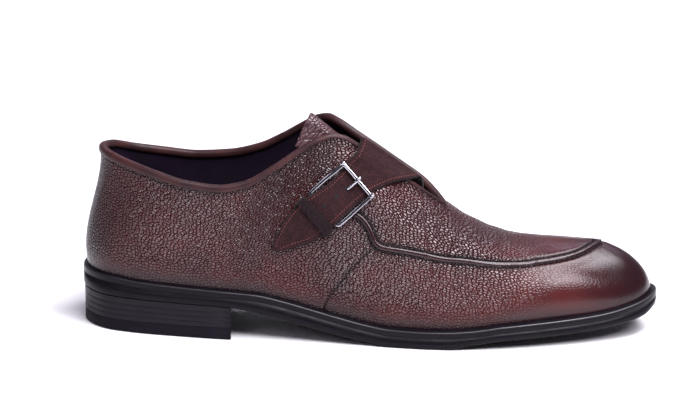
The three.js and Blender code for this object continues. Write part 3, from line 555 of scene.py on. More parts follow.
def pebbled(name, base, dark, red):
    """Pebble grained leather. Point attributes: along and around (place on the skin, m),
    dark (antique finish and painted shade), grain (relief), deep (painted seam shadow)."""
    m = Nodes(name)
    spot = m.tree.nodes.new("ShaderNodeCombineXYZ")
    m.feed(m.math("MULTIPLY", m.attribute("along"), 0.86), spot.inputs[0])
    m.feed(m.math("MULTIPLY", m.attribute("around"), 1.16), spot.inputs[1])
    bend = m.scaled(m.noise(220.0, 1.0, color=True), 0.0014)
    ripple = m.scaled(m.noise(900.0, 2.0, color=True), 0.0005)
    where = m.vector("ADD", m.vector("ADD", spot.outputs[0], bend), ripple)
    edge = m.cells(PEBBLES, "DISTANCE_TO_EDGE", where, 0.9)
    tops = m.band(edge, 0.0, 0.36)
    sway = m.math("MULTIPLY", m.noise(150.0, 2.0), 0.3)
    grain, shade, deep = m.attribute("grain"), m.attribute("dark"), m.attribute("deep")
    color = m.mix(m.band(m.noise(22.0, 4.0), 0.35, 0.7), base, red)
    color = m.mix(shade, color, dark)
    shadow = tuple(c * SHADOW for c in dark)
    # Painted shade in the crevices between the pebbles and in the seams
    gap = m.math("MULTIPLY", m.band(edge, 0.0, 0.19, 0.95, 0.0), grain)
    shine = m.math("MULTIPLY", m.band(edge, 0.05, 0.25, 0.0, 0.42), grain)
    low = m.math("MAXIMUM", gap, deep)
    color = m.mix(m.math("MULTIPLY", low, 0.95), color, shadow)
    polish = m.band(grain, 0.1, 0.7, 0.18, 0.25)
    rough = m.math("ADD", m.math("MULTIPLY", low, 0.3),
                   m.math("ADD", polish, m.band(m.noise(70.0, 3.0), 0.3, 0.7, 0.0, 0.06)))
    pores = m.math("MULTIPLY", m.noise(2400.0, 2.0), 0.05)
    raised = m.math("MULTIPLY", m.math("ADD", tops, sway), m.math("MAXIMUM", grain, 0.05))
    m.set(color=color, rough=rough, spec=m.math("ADD", m.band(low, 0.0, 0.6, 0.32, 0.02), shine),
          normal=m.bump(m.math("ADD", raised, pores), 1.0, PEBBLE_DEPTH))
    return m.material


def suede_look(name, base, light):
    """Napped leather; the edge attribute darkens the cut edges and the band's tip with painted shade."""
    m = Nodes(name)
    nap = m.noise(1500.0, 4.0, 0.75)
    brushed = m.noise(260.0, 4.0, 0.65)
    color = m.mix(m.band(nap, 0.38, 0.66), base, light)
    color = m.mix(m.band(brushed, 0.42, 0.68, 0.0, 0.4), color, tuple(c * 0.55 for c in base))
    # Painted shade on the cut edges and the band's tip
    color = m.mix(m.attribute("edge"), color, tuple(c * SHADOW for c in base))
    m.set(color=color, rough=0.95, spec=0.10, sheen=0.10, sheen_rough=0.5, normal=m.bump(nap, 0.8, 0.0004))
    return m.material


def smooth_leather(name, base, dark, rough, spec=0.25):
    m = Nodes(name)
    cloud = m.noise(60.0, 4.0)
    wrinkle = m.noise(900.0, 3.0)
    m.set(color=m.mix(m.band(cloud, 0.35, 0.7), base, dark), spec=spec,
          rough=m.band(wrinkle, 0.3, 0.7, rough, rough + 0.12), normal=m.bump(wrinkle, 0.25, 0.0002))
    return m.material


def edge_look(name, base, light, rough, spec):
    """Burnished sole edge: faint layers and rubbed marks; the edge attribute is the polished arris."""
    m = Nodes(name)
    layer = m.noise(1.0, 3.0, where=m.vector("MULTIPLY", m.place, (60.0, 60.0, 1500.0)))
    rub = m.noise(90.0, 5.0, 0.65)
    height = m.math("ADD", m.math("MULTIPLY", layer, 0.5), m.math("MULTIPLY", rub, 0.4))
    m.set(color=m.mix(m.band(layer, 0.35, 0.75), base, light),
          spec=m.band(m.attribute("edge"), 0.0, 1.0, spec, 0.7),
          rough=m.band(rub, 0.3, 0.75, rough, rough + 0.22), normal=m.bump(height, 0.2, 0.0002))
    return m.material


def metal_look(name):
    m = Nodes(name)
    scratch = m.noise(700.0, 3.0)
    m.set(color=m.mix(m.band(scratch, 0.3, 0.8), rgb(176, 174, 180), rgb(150, 148, 156)), metal=1.0,
          rough=m.band(scratch, 0.3, 0.8, 0.10, 0.18), normal=m.bump(scratch, 0.05, 0.0001))
    return m.material


LEATHER = pebbled("leather_burgundy", rgb(55, 24, 27), rgb(17, 11, 16), rgb(73, 27, 26))
TONGUE_LEATHER = pebbled("leather_tongue", rgb(82, 58, 63), rgb(34, 24, 29), rgb(84, 54, 57))
SUEDE = suede_look("suede_brown", rgb(28, 14, 17), rgb(56, 31, 33))
# The strap's suede made darker for the keeper: painted shade
SHADED_SUEDE_KEEPER = suede_look("suede_keeper_shaded", rgb(20, 12, 16), rgb(40, 25, 29))
BINDING = smooth_leather("binding_brown", rgb(60, 34, 34), rgb(36, 21, 24), 0.36, 0.22)
LINING = smooth_leather("lining_dark", rgb(27, 17, 33), rgb(20, 13, 26), 0.6, 0.12)
# Dark thread, also used for the painted shade of the strap holes
THREAD_AND_HOLE_SHADE = smooth_leather("thread_and_hole_shade", rgb(22, 14, 17), rgb(16, 10, 13), 0.7)
THREAD_RED = smooth_leather("thread_red", rgb(108, 62, 60), rgb(92, 50, 48), 0.7)
SOLE_EDGE = edge_look("sole_edge", rgb(13, 10, 16), rgb(20, 15, 22), 0.28, 0.10)
HEEL_EDGE = edge_look("heel_edge", rgb(24, 20, 27), rgb(30, 25, 32), 0.34, 0.12)
RUBBER = edge_look("heel_rubber", rgb(19, 15, 23), rgb(24, 20, 29), 0.5, 0.08)
METAL = metal_look("buckle_polished")


def finish_piece(obj, look, nodes=()):
    obj.data.materials.append(look)
    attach(obj, "root")
    if nodes:
        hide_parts(*nodes)
    return obj


# Sole


SOLE_STEPS = 150


def ring(half, height):
    s = share_at(np.linspace(0, 1, SOLE_STEPS))
    out = half(-1, s[::-1])
    inn = half(1, s[1:-1])
    x, y = np.r_[out[0], inn[0]], np.r_[out[1], inn[1]]
    return np.c_[x, y, height(x) if callable(height) else np.full(len(x), height)]


def capped(name, rings):
    """Closed plate. A strip between its two sides makes each cap, so that it follows the height curve."""
    across = [np.stack([end[:SOLE_STEPS], np.roll(end[::-1], 1, 0)[:SOLE_STEPS]], 1)
              for end in (rings[0], rings[-1])]
    return pulled_grids(name, [ringed(rings)] + across, solid=True)


inset = {d: halves(lambda x, d=d: 0 * x + d) for d in (0, 0.12, 0.4, 0.9, 1.6, 2.4)}
outsole = capped("sole_plate", [
    ring(inset[1.6], bottom_z), ring(inset[0.9], lambda x: bottom_z(x) + 0.12),
    ring(inset[0.4], lambda x: bottom_z(x) + 0.5), ring(inset[0.12], lambda x: bottom_z(x) + 1.1),
    ring(inset[0], lambda x: bottom_z(x) + 1.8), ring(inset[0], lambda x: seam_z(x) + 0.06),
    ring(inset[0.4], lambda x: seam_z(x) + 0.08),
    ring(inset[2.4], seam_z)])
finish_piece(outsole, SOLE_EDGE, ["outsole"])

foot_a = np.linspace(0, 1, SOLE_STEPS)


def welt_inner(lift, out):
    rows = []
    for side, a in ((-1, foot_a[::-1]), (1, foot_a[1:-1])):
        base, up = surface(side, a, 0.0), surface(side, a, 0.03)
        d = up - base
        p = base + d * np.minimum(lift / np.maximum(d[:, 2:3], 0.5), 1.5)
        x, y, nx, ny = feather(side, share_at(a))
        p[:, 0] += nx * out
        p[:, 1] += ny * out
        p[:, 2] = base[:, 2] + lift
        rows.append(p)
    return np.vstack(rows)


def mixed(a, b, u, dz):
    p = a * (1 - u) + b * u
    p[:, 2] = a[:, 2] * (1 - u) + b[:, 2] * u + dz
    return p


welt_out, welt_in = ring(inset[0.4], rim_z), welt_inner(WELT_THICK + WELT_RISE, 0.15)
welt = loft("welt_rim", np.stack([
    welt_inner(0, 0.3), ring(inset[0.4], lambda x: seam_z(x) + 0.11),
    ring(inset[0], lambda x: seam_z(x) + 0.13),
    ring(inset[0], lambda x: rim_z(x) - 1.1), ring(inset[0], lambda x: rim_z(x) - 0.8),
    ring(inset[0.12], lambda x: rim_z(x) - 0.3), ring(inset[0.4], lambda x: rim_z(x) - 0.04),
    mixed(welt_out, welt_in, 0.3, -0.35), mixed(welt_out, welt_in, 0.7, -0.55), welt_in], 1), closed=True,
    edge=np.tile([0, 0, 0, 0, 0.3, 1, 1, 0.3, 0, 0], (2 * SOLE_STEPS - 2, 1)))
finish_piece(welt, SOLE_EDGE, ["welt"])

insole_edge = halves(lambda x: EXTENSION("inset", x) * UPPER_INSET + WALL + 0.9)
insole = capped("sock", [ring(insole_edge, lambda x: seam_z(x) + 0.3),
                         ring(insole_edge, lambda x: seam_z(x) + 3.3)])
finish_piece(insole, LINING, ["insole"])


HEEL_DRAW = 0.4    # the heel's sides stand this far inside the sole's edge


def heel_ring(inset_by, height, steps=40, across=14):
    half = halves(lambda x: 0 * x + inset_by + HEEL_DRAW)
    x0, x1 = half(1, 0.0)[0], half(1, 1.0)[0]
    front = BREAST_AT * LENGTH - inset_by
    u = np.linspace(1, 0, steps)
    f = (1 - np.sqrt(np.maximum(1 - u * u, 0)) * (1 - 0.35 * u)) / (x1 - x0)
    a, b = half(-1, f * (front - x0)), half(1, f[::-1][1:] * (front - BREAST_SLANT - x0))
    x, y = np.r_[a[0], b[0]], np.r_[a[1], b[1]]
    w = np.linspace(0, 1, across)[1:-1]
    x = np.r_[x, x[-1] + (x[0] - x[-1]) * w - BREAST_HOLLOW * np.sin(pi * w)]
    y = np.r_[y, y[2 * steps - 2] + (y[0] - y[2 * steps - 2]) * w]
    return np.c_[x, y, height(x) if callable(height) else np.full(len(x), height)]


heel_lift = loft("heel_rubber_piece", [
    heel_ring(inset_by, height) for inset_by, height in (
        (1.2, 0.0), (0.6, 0.15), (0.2, 0.5), (0.0, 1.1), (0.05, LIFT_THICK - 0.6), (0.15, LIFT_THICK - 0.4))])
finish_piece(heel_lift, RUBBER, ["heel_top_lift"])
layers = []
LAYERS = 4
STACK_FROM = LIFT_THICK - 0.35
top = lambda x: bottom_z(x) - 0.04
for k in range(LAYERS):
    lo = lambda x, k=k: STACK_FROM + (top(x) - STACK_FROM) * k / LAYERS
    hi = lambda x, k=k: STACK_FROM + (top(x) - STACK_FROM) * (k + 1) / LAYERS
    layers += [heel_ring(0.08, lo), heel_ring(0.0, lambda x, f=lo: f(x) + 0.1),
               heel_ring(0.0, lambda x, f=hi: f(x) - 0.1)]
layers.append(heel_ring(0.0, top))
finish_piece(loft("heel_layers", layers), HEEL_EDGE, ["heel_stack"])


# Upper

A_STEPS, T_STEPS = 400, 110
notch = round(A_STEPS * NOTCH_AT)
station = np.r_[np.linspace(0, NOTCH_AT, notch + 1), np.linspace(NOTCH_AT, 1, A_STEPS - notch + 1)[1:]]
rows_t = np.linspace(0, 1, T_STEPS + 1)
apron = np.array([on_upper(side, a, t, 0.0) for side, a, t in APRON])
apron_normals = np.array([normal_at(side, np.array(a), np.array(t)) for side, a, t in APRON])
apron_line = resample(catmull(apron, 400), 0.8)
apron_out = unit(spread(catmull(apron_normals, 400), len(apron_line)))

SIDE_SEAM = [(0.523, 0.395), (0.511, 0.350), (0.486, 0.240), (0.468, 0.150), (0.451, 0.070), (0.444, 0.0)]


def path_on(side, pins, count=160):
    p = catmull([[a, t] for a, t in pins], count)
    return p[:, 0], p[:, 1]


def skin_grid(side):
    a, t = np.meshgrid(station, rows_t, indexing="ij")
    return a, t, surface(side, a, t)


def shading(p, a, t):
    """Darkness and grain strength at points of the skin. The darkness is antique finish at the toe, darker
    toward the heel back, antique finish and painted shade along the welt, and painted shade behind the strap
    and under the top edge.
    """
    x, z = p[..., 0] / LENGTH, p[..., 2]
    foot = seam_z(p[..., 0]) + WELT_THICK
    above = z - foot
    # Antique toe and darker heel back, then along the welt (antique finish and painted shade), then painted
    # shade on the quarters behind the strap and under the top edge
    dark = 0.85 * smooth(x, 0.80, 0.97) + 0.55 * (1 - smooth(x, 0.0, 0.13))
    dark = np.maximum(dark, 0.75 * (1 - smooth(above, 0, 11)))
    dark = np.maximum(dark, 0.6 * smooth(x, 0.29, 0.36) * (1 - smooth(x, 0.43, 0.47)) * smooth(t, 0.5, 0.8))
    edge = (1 - t) * 60
    dark = np.maximum(dark, 0.55 * (1 - smooth(edge, 0, 8)) * (a < NOTCH_AT))
    # The grain fades toward the polished toe, the welt and the back of the heel
    grain = 1 - 0.88 * smooth(x, 0.70, 0.84)
    grain *= 0.35 + 0.65 * smooth(above, 3, 16)
    grain *= 0.75 + 0.25 * smooth(x, 0.02, 0.12)
    return np.clip(dark, 0, 1), np.clip(grain, 0.03, 1)


# Flex creases: x share, height share from which they show, width, depth
CREASES = ((0.655, 0.62, 5.0, 0.35), (0.700, 0.70, 6.0, 0.30), (0.745, 0.66, 6.0, 0.22))


def relief(p, a, t, seam_line):
    """Seam troughs, quarter step, swell round the apron and soft flex creases, in mm along the normal."""
    near, band = distance(p, seam_line[::4]), distance(p, apron_line[::3])
    ahead = p[:, 0] - np.interp(p[:, 2], seam_line[::-1, 2], seam_line[::-1, 0])
    low = p[:, 2] < seam_line[0, 2]
    step = np.where(low, 0.4 * (1 - smooth(ahead, -0.9, 0.5)) * np.exp(-np.maximum(-ahead, 0) / 14), 0)
    groove = 0.35 * np.exp(-((near - 0.2) / 0.6) ** 2)
    trough = 0.5 * np.exp(-(((band - 2.1) / 0.9) ** 2))
    swell = 0.35 * (1 - smooth(band, 2.5, 9))
    crease = np.zeros(len(p))
    for at, high, wide, deep in CREASES:
        lean = (p[:, 0] - at * LENGTH) - 0.25 * (p[:, 2] - 45)
        crease += deep * np.exp(-((lean / wide) ** 2)) * smooth(t, high - 0.25, high + 0.1)
    return (step - groove - trough + swell - crease) * smooth(t, 0, 0.04), near, band


skin = {"p": [], "n": [], "lift": [], "dark": [], "grain": [], "deep": [], "along": [], "around": []}
seams = {}
for side in (-1, 1):
    a, t, grid = skin_grid(side)
    p = grid.reshape(-1, 3)
    sa, st = path_on(side, SIDE_SEAM)
    seam_line = surface(side, sa, st)
    lift, near, band = relief(p, a.ravel(), t.ravel(), seam_line)
    dark, grain = shading(grid, a, t)
    dark = np.maximum(dark.ravel(), 0.6 * np.exp(-((band / 4.5) ** 2)))
    dark = np.maximum(dark, 0.35 * np.exp(-((near / 2.5) ** 2)))
    deep = np.maximum(0.95 * np.exp(-(((band - 1.95) / 0.75) ** 2)), 0.9 * np.exp(-((near / 0.6) ** 2)))
    normals = (grid_normals(grid) * (1 if side < 0 else -1)).reshape(-1, 3)
    runs = np.linalg.norm(np.diff(grid, axis=1), axis=2)
    around = side * np.c_[np.cumsum(runs[:, ::-1], 1)[:, ::-1], np.zeros(len(runs))] * MM
    middle = grid[:, T_STEPS // 2]
    along = (grid[..., 0] + (walked(middle) - middle[:, 0])[:, None]).ravel() * MM
    for key, value in (("p", p), ("n", normals), ("lift", lift), ("dark", dark), ("grain", grain.ravel()),
                       ("deep", deep), ("along", along), ("around", around.ravel())):
        skin[key].append(value)
    seams[side] = (seam_line, normal_at(side, sa, st))
skin = {key: np.concatenate(value) for key, value in skin.items()}
# Both sides share the heel, crest and toe lines: their normals and lifts are averaged there
_, first, same = np.unique(np.round(skin["p"], 4), axis=0, return_index=True, return_inverse=True)
same = same.reshape(-1)
count = np.bincount(same)
mean = lambda v: (np.bincount(same, v) / count)[same]
skin["n"] = unit(np.stack([mean(skin["n"][:, k]) for k in range(3)], 1))
moved = skin["p"] + skin["n"] * mean(skin["lift"])[:, None]
SHELL = (2, A_STEPS + 1, T_STEPS + 1)


def facing(grids, way):
    """Turns the grid of side way round, so that both sides face the same way."""
    return [np.swapaxes(g[::-1] if side == way else g, 0, 1) for side, g in zip((-1, 1), grids)]


marks = {key: facing(value[first][same].reshape(SHELL), 1) for key, value in skin.items()
         if key not in ("p", "n", "lift")}
upper_skin = pulled_grids("upper_skin", facing(moved.reshape(*SHELL, 3), 1), marks)
finish_piece(upper_skin, LEATHER, ["upper"])

every = np.ix_(np.r_[0:A_STEPS:3, A_STEPS], np.r_[0:T_STEPS:4, T_STEPS])
inner_skin = (skin["p"] - skin["n"] * WALL).reshape(*SHELL, 3)
lining = pulled_grids("upper_lining", facing([points[every] for points in inner_skin], -1))
finish_piece(lining, LINING)


# Collar and throat binding: a soft fold over the edge


def rim_stations(stop=0.004):
    a = np.linspace(0, NOTCH_AT - stop, 300)
    return [(-1, v) for v in a[::-1]] + [(1, v) for v in a[1:]]


def rim_frame(places):
    p = np.array([surface(s, a, 1.0) for s, a in places])
    q = np.array([surface(s, a, 0.985) for s, a in places])
    n = np.array([normal_at(s, np.array(a), np.array(0.995)) for s, a in places])
    down = unit(q - p)
    along, side, up = frames_along(p, n)
    return p, unit(n - down * np.sum(n * down, -1, keepdims=True)), down


rim_p, rim_n, rim_down = rim_frame(rim_stations())
profile = [(0.05, 2.9), (0.75, 2.75), (1.0, 2.3), (1.05, 1.2), (0.9, 0.0), (0.45, -0.75), (-0.3, -1.15),
           (-1.1, -1.25), (-1.9, -1.15), (-2.65, -0.75), (-3.1, 0.0), (-3.25, 1.2), (-3.15, 2.6), (-2.3, 2.9)]
slim = np.array([1 - (0.45 if s < 0 else 0.2) * smooth(a, 0.37, 0.47) for s, a in rim_stations()])
binding = loft("collar_fold", [[p + n * (u if u < 0 else u * (0.35 + 0.65 * k)) + d * (v * k if v > 0 else v)
                                for u, v in profile] for p, n, d, k in zip(rim_p, rim_n, rim_down, slim)])
finish_piece(binding, BINDING, ["collar_binding"])
row = rim_p + rim_down * (3.6 * slim + 0.7)[:, None]
lat = np.array([s < 0 for s, a in rim_stations()])
for tag, keep in (("outer", lat), ("inner", ~lat)):
    path = row[keep]
    finish_piece(stitches("collar_stitches_" + tag, path + rim_n[keep] * 0.1, rim_n[keep], *COLLAR_STITCH),
                 THREAD_AND_HOLE_SHADE)


# Apron seam: raised strip with a thread row each side

side_vec = unit(np.cross(np.gradient(apron_line, axis=0), apron_out))
strip = []
for u, h in ((-1.35, -0.3), (-1.3, 0.25), (-0.95, 0.62), (-0.4, 0.8), (0.4, 0.8), (0.95, 0.62), (1.3, 0.25),
             (1.35, -0.3)):
    strip.append(apron_line + side_vec * u + apron_out * h)
strip = np.stack(strip, 1)
raised = loft("apron_strip", strip)
point_values(raised, dark=0.7, grain=0.3)
finish_piece(raised, LEATHER, ["apron_seam"])
for tag, u in (("inner", -1.85), ("outer", 1.85)):
    path = apron_line + side_vec * u + apron_out * -0.05
    finish_piece(stitches("apron_stitches_" + tag, path, apron_out, *APRON_STITCH),
                 THREAD_AND_HOLE_SHADE)
for side in (-1, 1):
    line, out = seams[side]
    path = resample(line, 0.5)
    norm = unit(spread(out, len(path)))
    across = unit(np.cross(np.gradient(path, axis=0), norm))
    finish_piece(stitches(f"side_stitches_{'outer' if side < 0 else 'inner'}", path + across * 1.6, norm,
                          *SIDE_STITCH), THREAD_AND_HOLE_SHADE)


# Tongue

TONGUE_DEPTH = WALL + BINDING_CLEAR + BINDING_THICK + STRAP_THICK + 4 * GAP
TONGUE_TIP = Table("x y z width back fall crown", [
    [-1.00, 0.06, 0.68, 0.88, 0.53, 0.53, 0.12], [-0.96, 0.06, 0.66, 0.90, 0.52, 0.52, 0.12],
    [-0.65, 0.04, 0.47, 0.94, 0.40, 0.35, 0.07], [-0.30, 0.02, 0.21, 0.98, 0.22, 0.18, 0.03],
]).rows
INNER_TRAIL = 0.35


def tongue_row(a, across):
    pins = [on_upper(s, np.array(a), np.array(t), -TONGUE_DEPTH)
            for s, t in ((-1, 0.80), (-1, 0.92), (-1, 0.995), (1, 0.995), (1, 0.94), (1, 0.86))]
    if a >= NOTCH_AT:
        pins[2:4] = [(pins[2] + pins[3]) / 2]
    return resample_count(catmull(pins, 120), across)


across = 61
TONGUE_FROM = 0.475
first = tongue_row(TONGUE_FROM, across)
ridge = first[across // 2]
u = np.linspace(-1, 1, across)
inner, outer = np.maximum(u, 0), np.maximum(-u, 0)
tongue_pins = []
for x, y, z, width, trail, fall, crown in TONGUE_TIP:
    q = first.copy()
    q[:, 0] += (x - trail * (outer + INNER_TRAIL * inner)) * TONGUE_REACH
    q[:, 1] = ridge[1] + (first[:, 1] - ridge[1]) * width + y * TONGUE_REACH
    q[:, 2] += (z - fall * inner**2 + crown * (1 - u * u)) * TONGUE_REACH
    tongue_pins.append(q)
for a in np.linspace(TONGUE_FROM, 0.685, 11):
    tongue_pins.append(tongue_row(a, across))
tongue_pins = np.array(tongue_pins)
tongue_face = np.stack([catmull(tongue_pins[:, j], 150) for j in range(across)], 1)


def thick_sheet(name, face, thick, round_by=0.35):
    """Closed sheet with softened borders; face is the outer side, rows x cols."""
    n = grid_normals(face)
    if np.mean(n[..., 2]) < 0:
        n = -n
    rows, cols = face.shape[:2]
    inner = face - n * thick
    mid = face - n * thick / 2
    grow = unit(np.gradient(face, axis=1))
    rings = []
    for i in range(rows):
        left, right = -grow[i, 0] * round_by, grow[i, -1] * round_by
        rings.append(np.vstack([face[i], mid[i, -1:] + right, inner[i, ::-1], mid[i, :1] + left]))
    return loft(name, rings)


TONGUE_THICK = 2.2
tongue = thick_sheet("tongue_leaf", tongue_face, TONGUE_THICK)
tongue_at = np.array([v.co for v in tongue.data.vertices])
point_values(tongue, dark=0.15, grain=0.75, along=(tongue_at[:, 0] - tongue_at[:, 2]) * 0.75,
             around=tongue_at[:, 1])
finish_piece(tongue, TONGUE_LEATHER, ["tongue"])


# Strap, keeper, buckle

OVER_BAR = GAP + 2 * BAR_R + GAP + STRAP_THICK
FLAT = GAP + STRAP_THICK
UNDER = -WALL - BINDING_CLEAR - BINDING_THICK - 2 * GAP
EDGE = BINDING_CLEAR + BINDING_THICK + 2 * GAP + STRAP_THICK
RISING, FALLING = 0.45 * OVER_BAR + 0.55 * FLAT, 0.5 * OVER_BAR + 0.5 * FLAT
NEAR = 0.2 * OVER_BAR + 0.8 * FLAT
# Rows across the strap: side, its two edges as station and height share, lift, share of STRAP_BRIDGE
STRAP = [
    (1, (0.500, 0.840), (0.618, 0.860), UNDER, 0), (1, (0.499, 0.995), (0.613, 0.995), UNDER, 0),
    (-1, (0.491, 0.995), (0.590, 0.995), EDGE, 1), (-1, (0.489, 0.995), (0.578, 0.995), EDGE, 0.12),
    (-1, (0.483, 0.900), (0.557, 0.900), EDGE, 0), (-1, (0.474, 0.840), (0.536, 0.800), FLAT, 0),
    (-1, (0.469, 0.790), (0.515, 0.705), FLAT, 0), (-1, (0.445, 0.672), (0.485, 0.555), RISING, 0),
    (-1, (0.417, 0.616), (0.461, 0.440), OVER_BAR, 0), (-1, (0.398, 0.570), (0.443, 0.375), FALLING, 0),
    (-1, (0.388, 0.530), (0.428, 0.335), NEAR, 0), (-1, (0.378, 0.455), (0.407, 0.300), FLAT, 0),
    (-1, (0.370, 0.345), (0.388, 0.283), FLAT, 0), (-1, (0.370, 0.305), (0.376, 0.283), FLAT, 0),
]


def strap_column(u):
    pins = []
    for side, p, q, lift, beyond in STRAP:
        a, t = p[0] + (q[0] - p[0]) * u, p[1] + (q[1] - p[1]) * u
        climb = unit(surface(side, a, t) - surface(side, a, t - 0.05))
        pins.append(on_upper(side, np.array(a), np.array(t), lift) + climb * beyond * STRAP_BRIDGE)
    return catmull(pins, STRAP_ROWS)


STRAP_COLS, STRAP_ROWS = 41, 260
strap_u = np.linspace(0, 1, STRAP_COLS)
strap_face = np.stack([strap_column(u) for u in strap_u], 1)
strap_n = grid_normals(strap_face)
if np.mean(strap_n[..., 1]) > 0:
    strap_n = -strap_n
across_mm = np.linalg.norm(strap_face[:, -1] - strap_face[:, 0], axis=1)
from_edge = np.minimum(strap_u, 1 - strap_u) * across_mm[:, None]
dip = 0.55 * np.exp(-(from_edge / 0.7) ** 2) + 0.16 * np.exp(-((from_edge - 2.0) / 0.6) ** 2)
strap_top = strap_face - strap_n * dip[..., None]


CUT_EDGE = [(0.2, 0.12), (0.5, 0.22), (0.85, 0.1)]    # share of the thickness, bulge in mm


def thick_by(name, face, normals, thick):
    """Closed band; the edge attribute marks its cut sides, its face's borders and its last rows for painted
    shade.
    """
    inner = face - normals * thick
    grow = unit(np.gradient(face, axis=1))
    rings, marks, cols = [], [], face.shape[1]
    for i in range(len(face)):
        side = lambda j, w, out: face[i, j:j + 1] * (1 - w) + inner[i, j:j + 1] * w + grow[i, j] * out
        last = cols - 1
        rings.append(np.vstack([face[i]] + [side(last, w, out) for w, out in CUT_EDGE] + [inner[i, ::-1]]
                               + [side(0, w, -out) for w, out in CUT_EDGE[::-1]]))
        # The band's last rows (the strap's lifted tip) get painted shade, and its face's borders get some
        tip = 0.9 if i > len(face) - 4 else 0.0
        marks.append([max(tip, 0.45)] + [tip] * (cols - 2) + [max(tip, 0.45)] + [1.0] * (cols + 6))
    return loft(name, rings, edge=marks)


finish_piece(thick_by("strap_band", strap_top, strap_n, STRAP_THICK), SUEDE, ["strap"])


def strap_point(i, u):
    """Point on the strap's face at row i and width share u, with its normal."""
    j = u * (STRAP_COLS - 1)
    k = min(int(j), STRAP_COLS - 2)
    f = j - k
    i = int(np.clip(i, 0, len(strap_face) - 1))
    return strap_face[i, k] * (1 - f) + strap_face[i, k + 1] * f, strap_n[i, k]


def strap_row(start, stop, inset_mm, side):
    pts, out = [], []
    for i in range(start, stop):
        w = max(across_mm[i], 1e-3)
        u = min(inset_mm / w, 0.5)
        p, n = strap_point(i, u if side < 0 else 1 - u)
        pts.append(p - n * 0.12)
        out.append(n)
    return np.array(pts), np.array(out)


for tag, side in (("collar_side", -1), ("toe_side", 1)):
    path, out = strap_row(40, 247, 2.0, side)
    finish_piece(stitches("strap_stitches_" + tag, path, out, *STRAP_STITCH), THREAD_RED)


FRAME_CORNERS = np.array([(0.466, 0.822), (0.520, 0.682), (0.465, 0.420), (0.410, 0.642)])


def in_frame(p, q, lift):
    """Point in the buckle's square: bars straight between corners, height from the upper."""
    top, right, bottom, left = FRAME_CORNERS
    u, v = (p + 1) / 2, (q + 1) / 2
    blend = lambda f: (f(left) * (1 - u) + f(bottom) * u) * (1 - v) + (f(top) * (1 - u) + f(right) * u) * v
    a, t = blend(lambda c: c)
    chord = blend(lambda c: surface(-1, c[0], c[1]))
    seat, out = surface(-1, a, t), normal_at(-1, np.array(a), np.array(t))
    return chord + out * ((seat - chord) @ out + lift)


FRONT_LIFT = FLAT + GAP + FRONT_BAR_R


def frame_lift(q):
    u = min(max((q + 1) / 2, 0), 1)
    return (GAP + BAR_R) * (1 - u) + FRONT_LIFT * u


path, out, size = [], [], []
K = 0.92                           # bar's middle line, as a share of the square
STRAIGHT = 0.86                    # share of each side that is straight
corner = [(sin(w), cos(w)) for w in np.linspace(0, pi / 2, 7)]
turns = []
for s in np.linspace(-STRAIGHT, STRAIGHT, 12):
    turns.append((s, 1))
turns += [(STRAIGHT + (1 - STRAIGHT) * a, STRAIGHT + (1 - STRAIGHT) * b) for a, b in corner[1:-1]]
full_turn = []
for k in range(4):
    for p, q in turns:
        for _ in range(k):
            p, q = q, -p
        full_turn.append((p, q))
for p, q in full_turn:
    at = in_frame(p * K, q * K, frame_lift(q))
    path.append(at)
    out.append(in_frame(p * K, q * K, frame_lift(q) + 1) - at)
    size.append(1.28 if q > 0.995 else 1.08)
size = np.array(size)
frame_ring = rod("buckle_ring", np.array(path), np.array(out), size, True, 32,
                 square=np.where(size > 1.2, 2, 4.5))
finish_piece(frame_ring, METAL, ["buckle_frame"])
BAR_END = (0.86, 0.90, 0.95, 1.0, 1.03)
for k, p in enumerate((-1, 1)):
    ends = np.array([in_frame(p * w, K, FRONT_LIFT) for w in BAR_END])
    outs = np.array([in_frame(p * w, K, FRONT_LIFT + 1) for w in BAR_END]) - ends
    knob = rod(f"bar_end_{k}", ends, outs, np.array([0.9, 1.55, 1.75, 1.5, 0.8]))
    finish_piece(knob, METAL)
over = FRONT_LIFT + FRONT_BAR_R + GAP + PRONG_R - 0.2
pins = [(0.36, FLAT + 0.6, 0.9), (0.45, FLAT + 1.5, 1.0), (0.58, FLAT + 2.2, 1.05), (0.72, over - 0.4, 1.05),
        (0.86, over, 1.1), (0.98, over, 1.1), (1.06, over - 0.6, 0.7)]
at = catmull([in_frame(0, q, lift) for q, lift, r in pins], 40)
outs = catmull([in_frame(0, q, lift + 1) - in_frame(0, q, lift) for q, lift, r in pins], 40)
r = np.interp(np.linspace(0, 1, 40), np.linspace(0, 1, len(pins)), [PRONG_R * r for q, lift, r in pins])
finish_piece(rod("prong_arm", at, outs, r), METAL, ["buckle_prong"])
w = np.linspace(0, 2 * pi, 24, endpoint=False)
c0 = in_frame(0, K, FRONT_LIFT)
along = unit(in_frame(0.1, K, FRONT_LIFT) - in_frame(-0.1, K, FRONT_LIFT))
n0 = unit(in_frame(0, K, FRONT_LIFT + 1) - c0)
f0 = np.cross(along, n0)
loop = c0 + 1.75 * (f0 * np.cos(w)[:, None] + n0 * np.sin(w)[:, None])
loop_out = unit(loop - c0)
finish_piece(rod("prong_collar", loop, loop_out, 0.62, True, 10, flat=0.8), METAL)

# Strap holes: dark sunk discs, painted shade where the holes are
MIDDLE = STRAP_COLS // 2
for k, q in enumerate((-0.23, -0.80, 0.34)):
    base = in_frame(0.0, q, 0.0)
    i = int(np.argmin(np.linalg.norm(strap_face[:, MIDDLE] - base, axis=1)))
    c, n = strap_point(i, 0.5)
    ref = unit(strap_face[min(i + 1, STRAP_ROWS - 1), MIDDLE] - strap_face[i, MIDDLE])
    sidev = np.cross(n, ref)
    w = np.linspace(0, 2 * pi, 16, endpoint=False)
    rings = [c + n * h + rr * (ref * np.cos(w)[:, None] + sidev * np.sin(w)[:, None])
             for h, rr in ((-0.5, 1.15), (0.05, 1.15), (0.07, 0.95), (0.0, 0.3))]
    finish_piece(loft(f"strap_hole_{k}", rings), THREAD_AND_HOLE_SHADE)

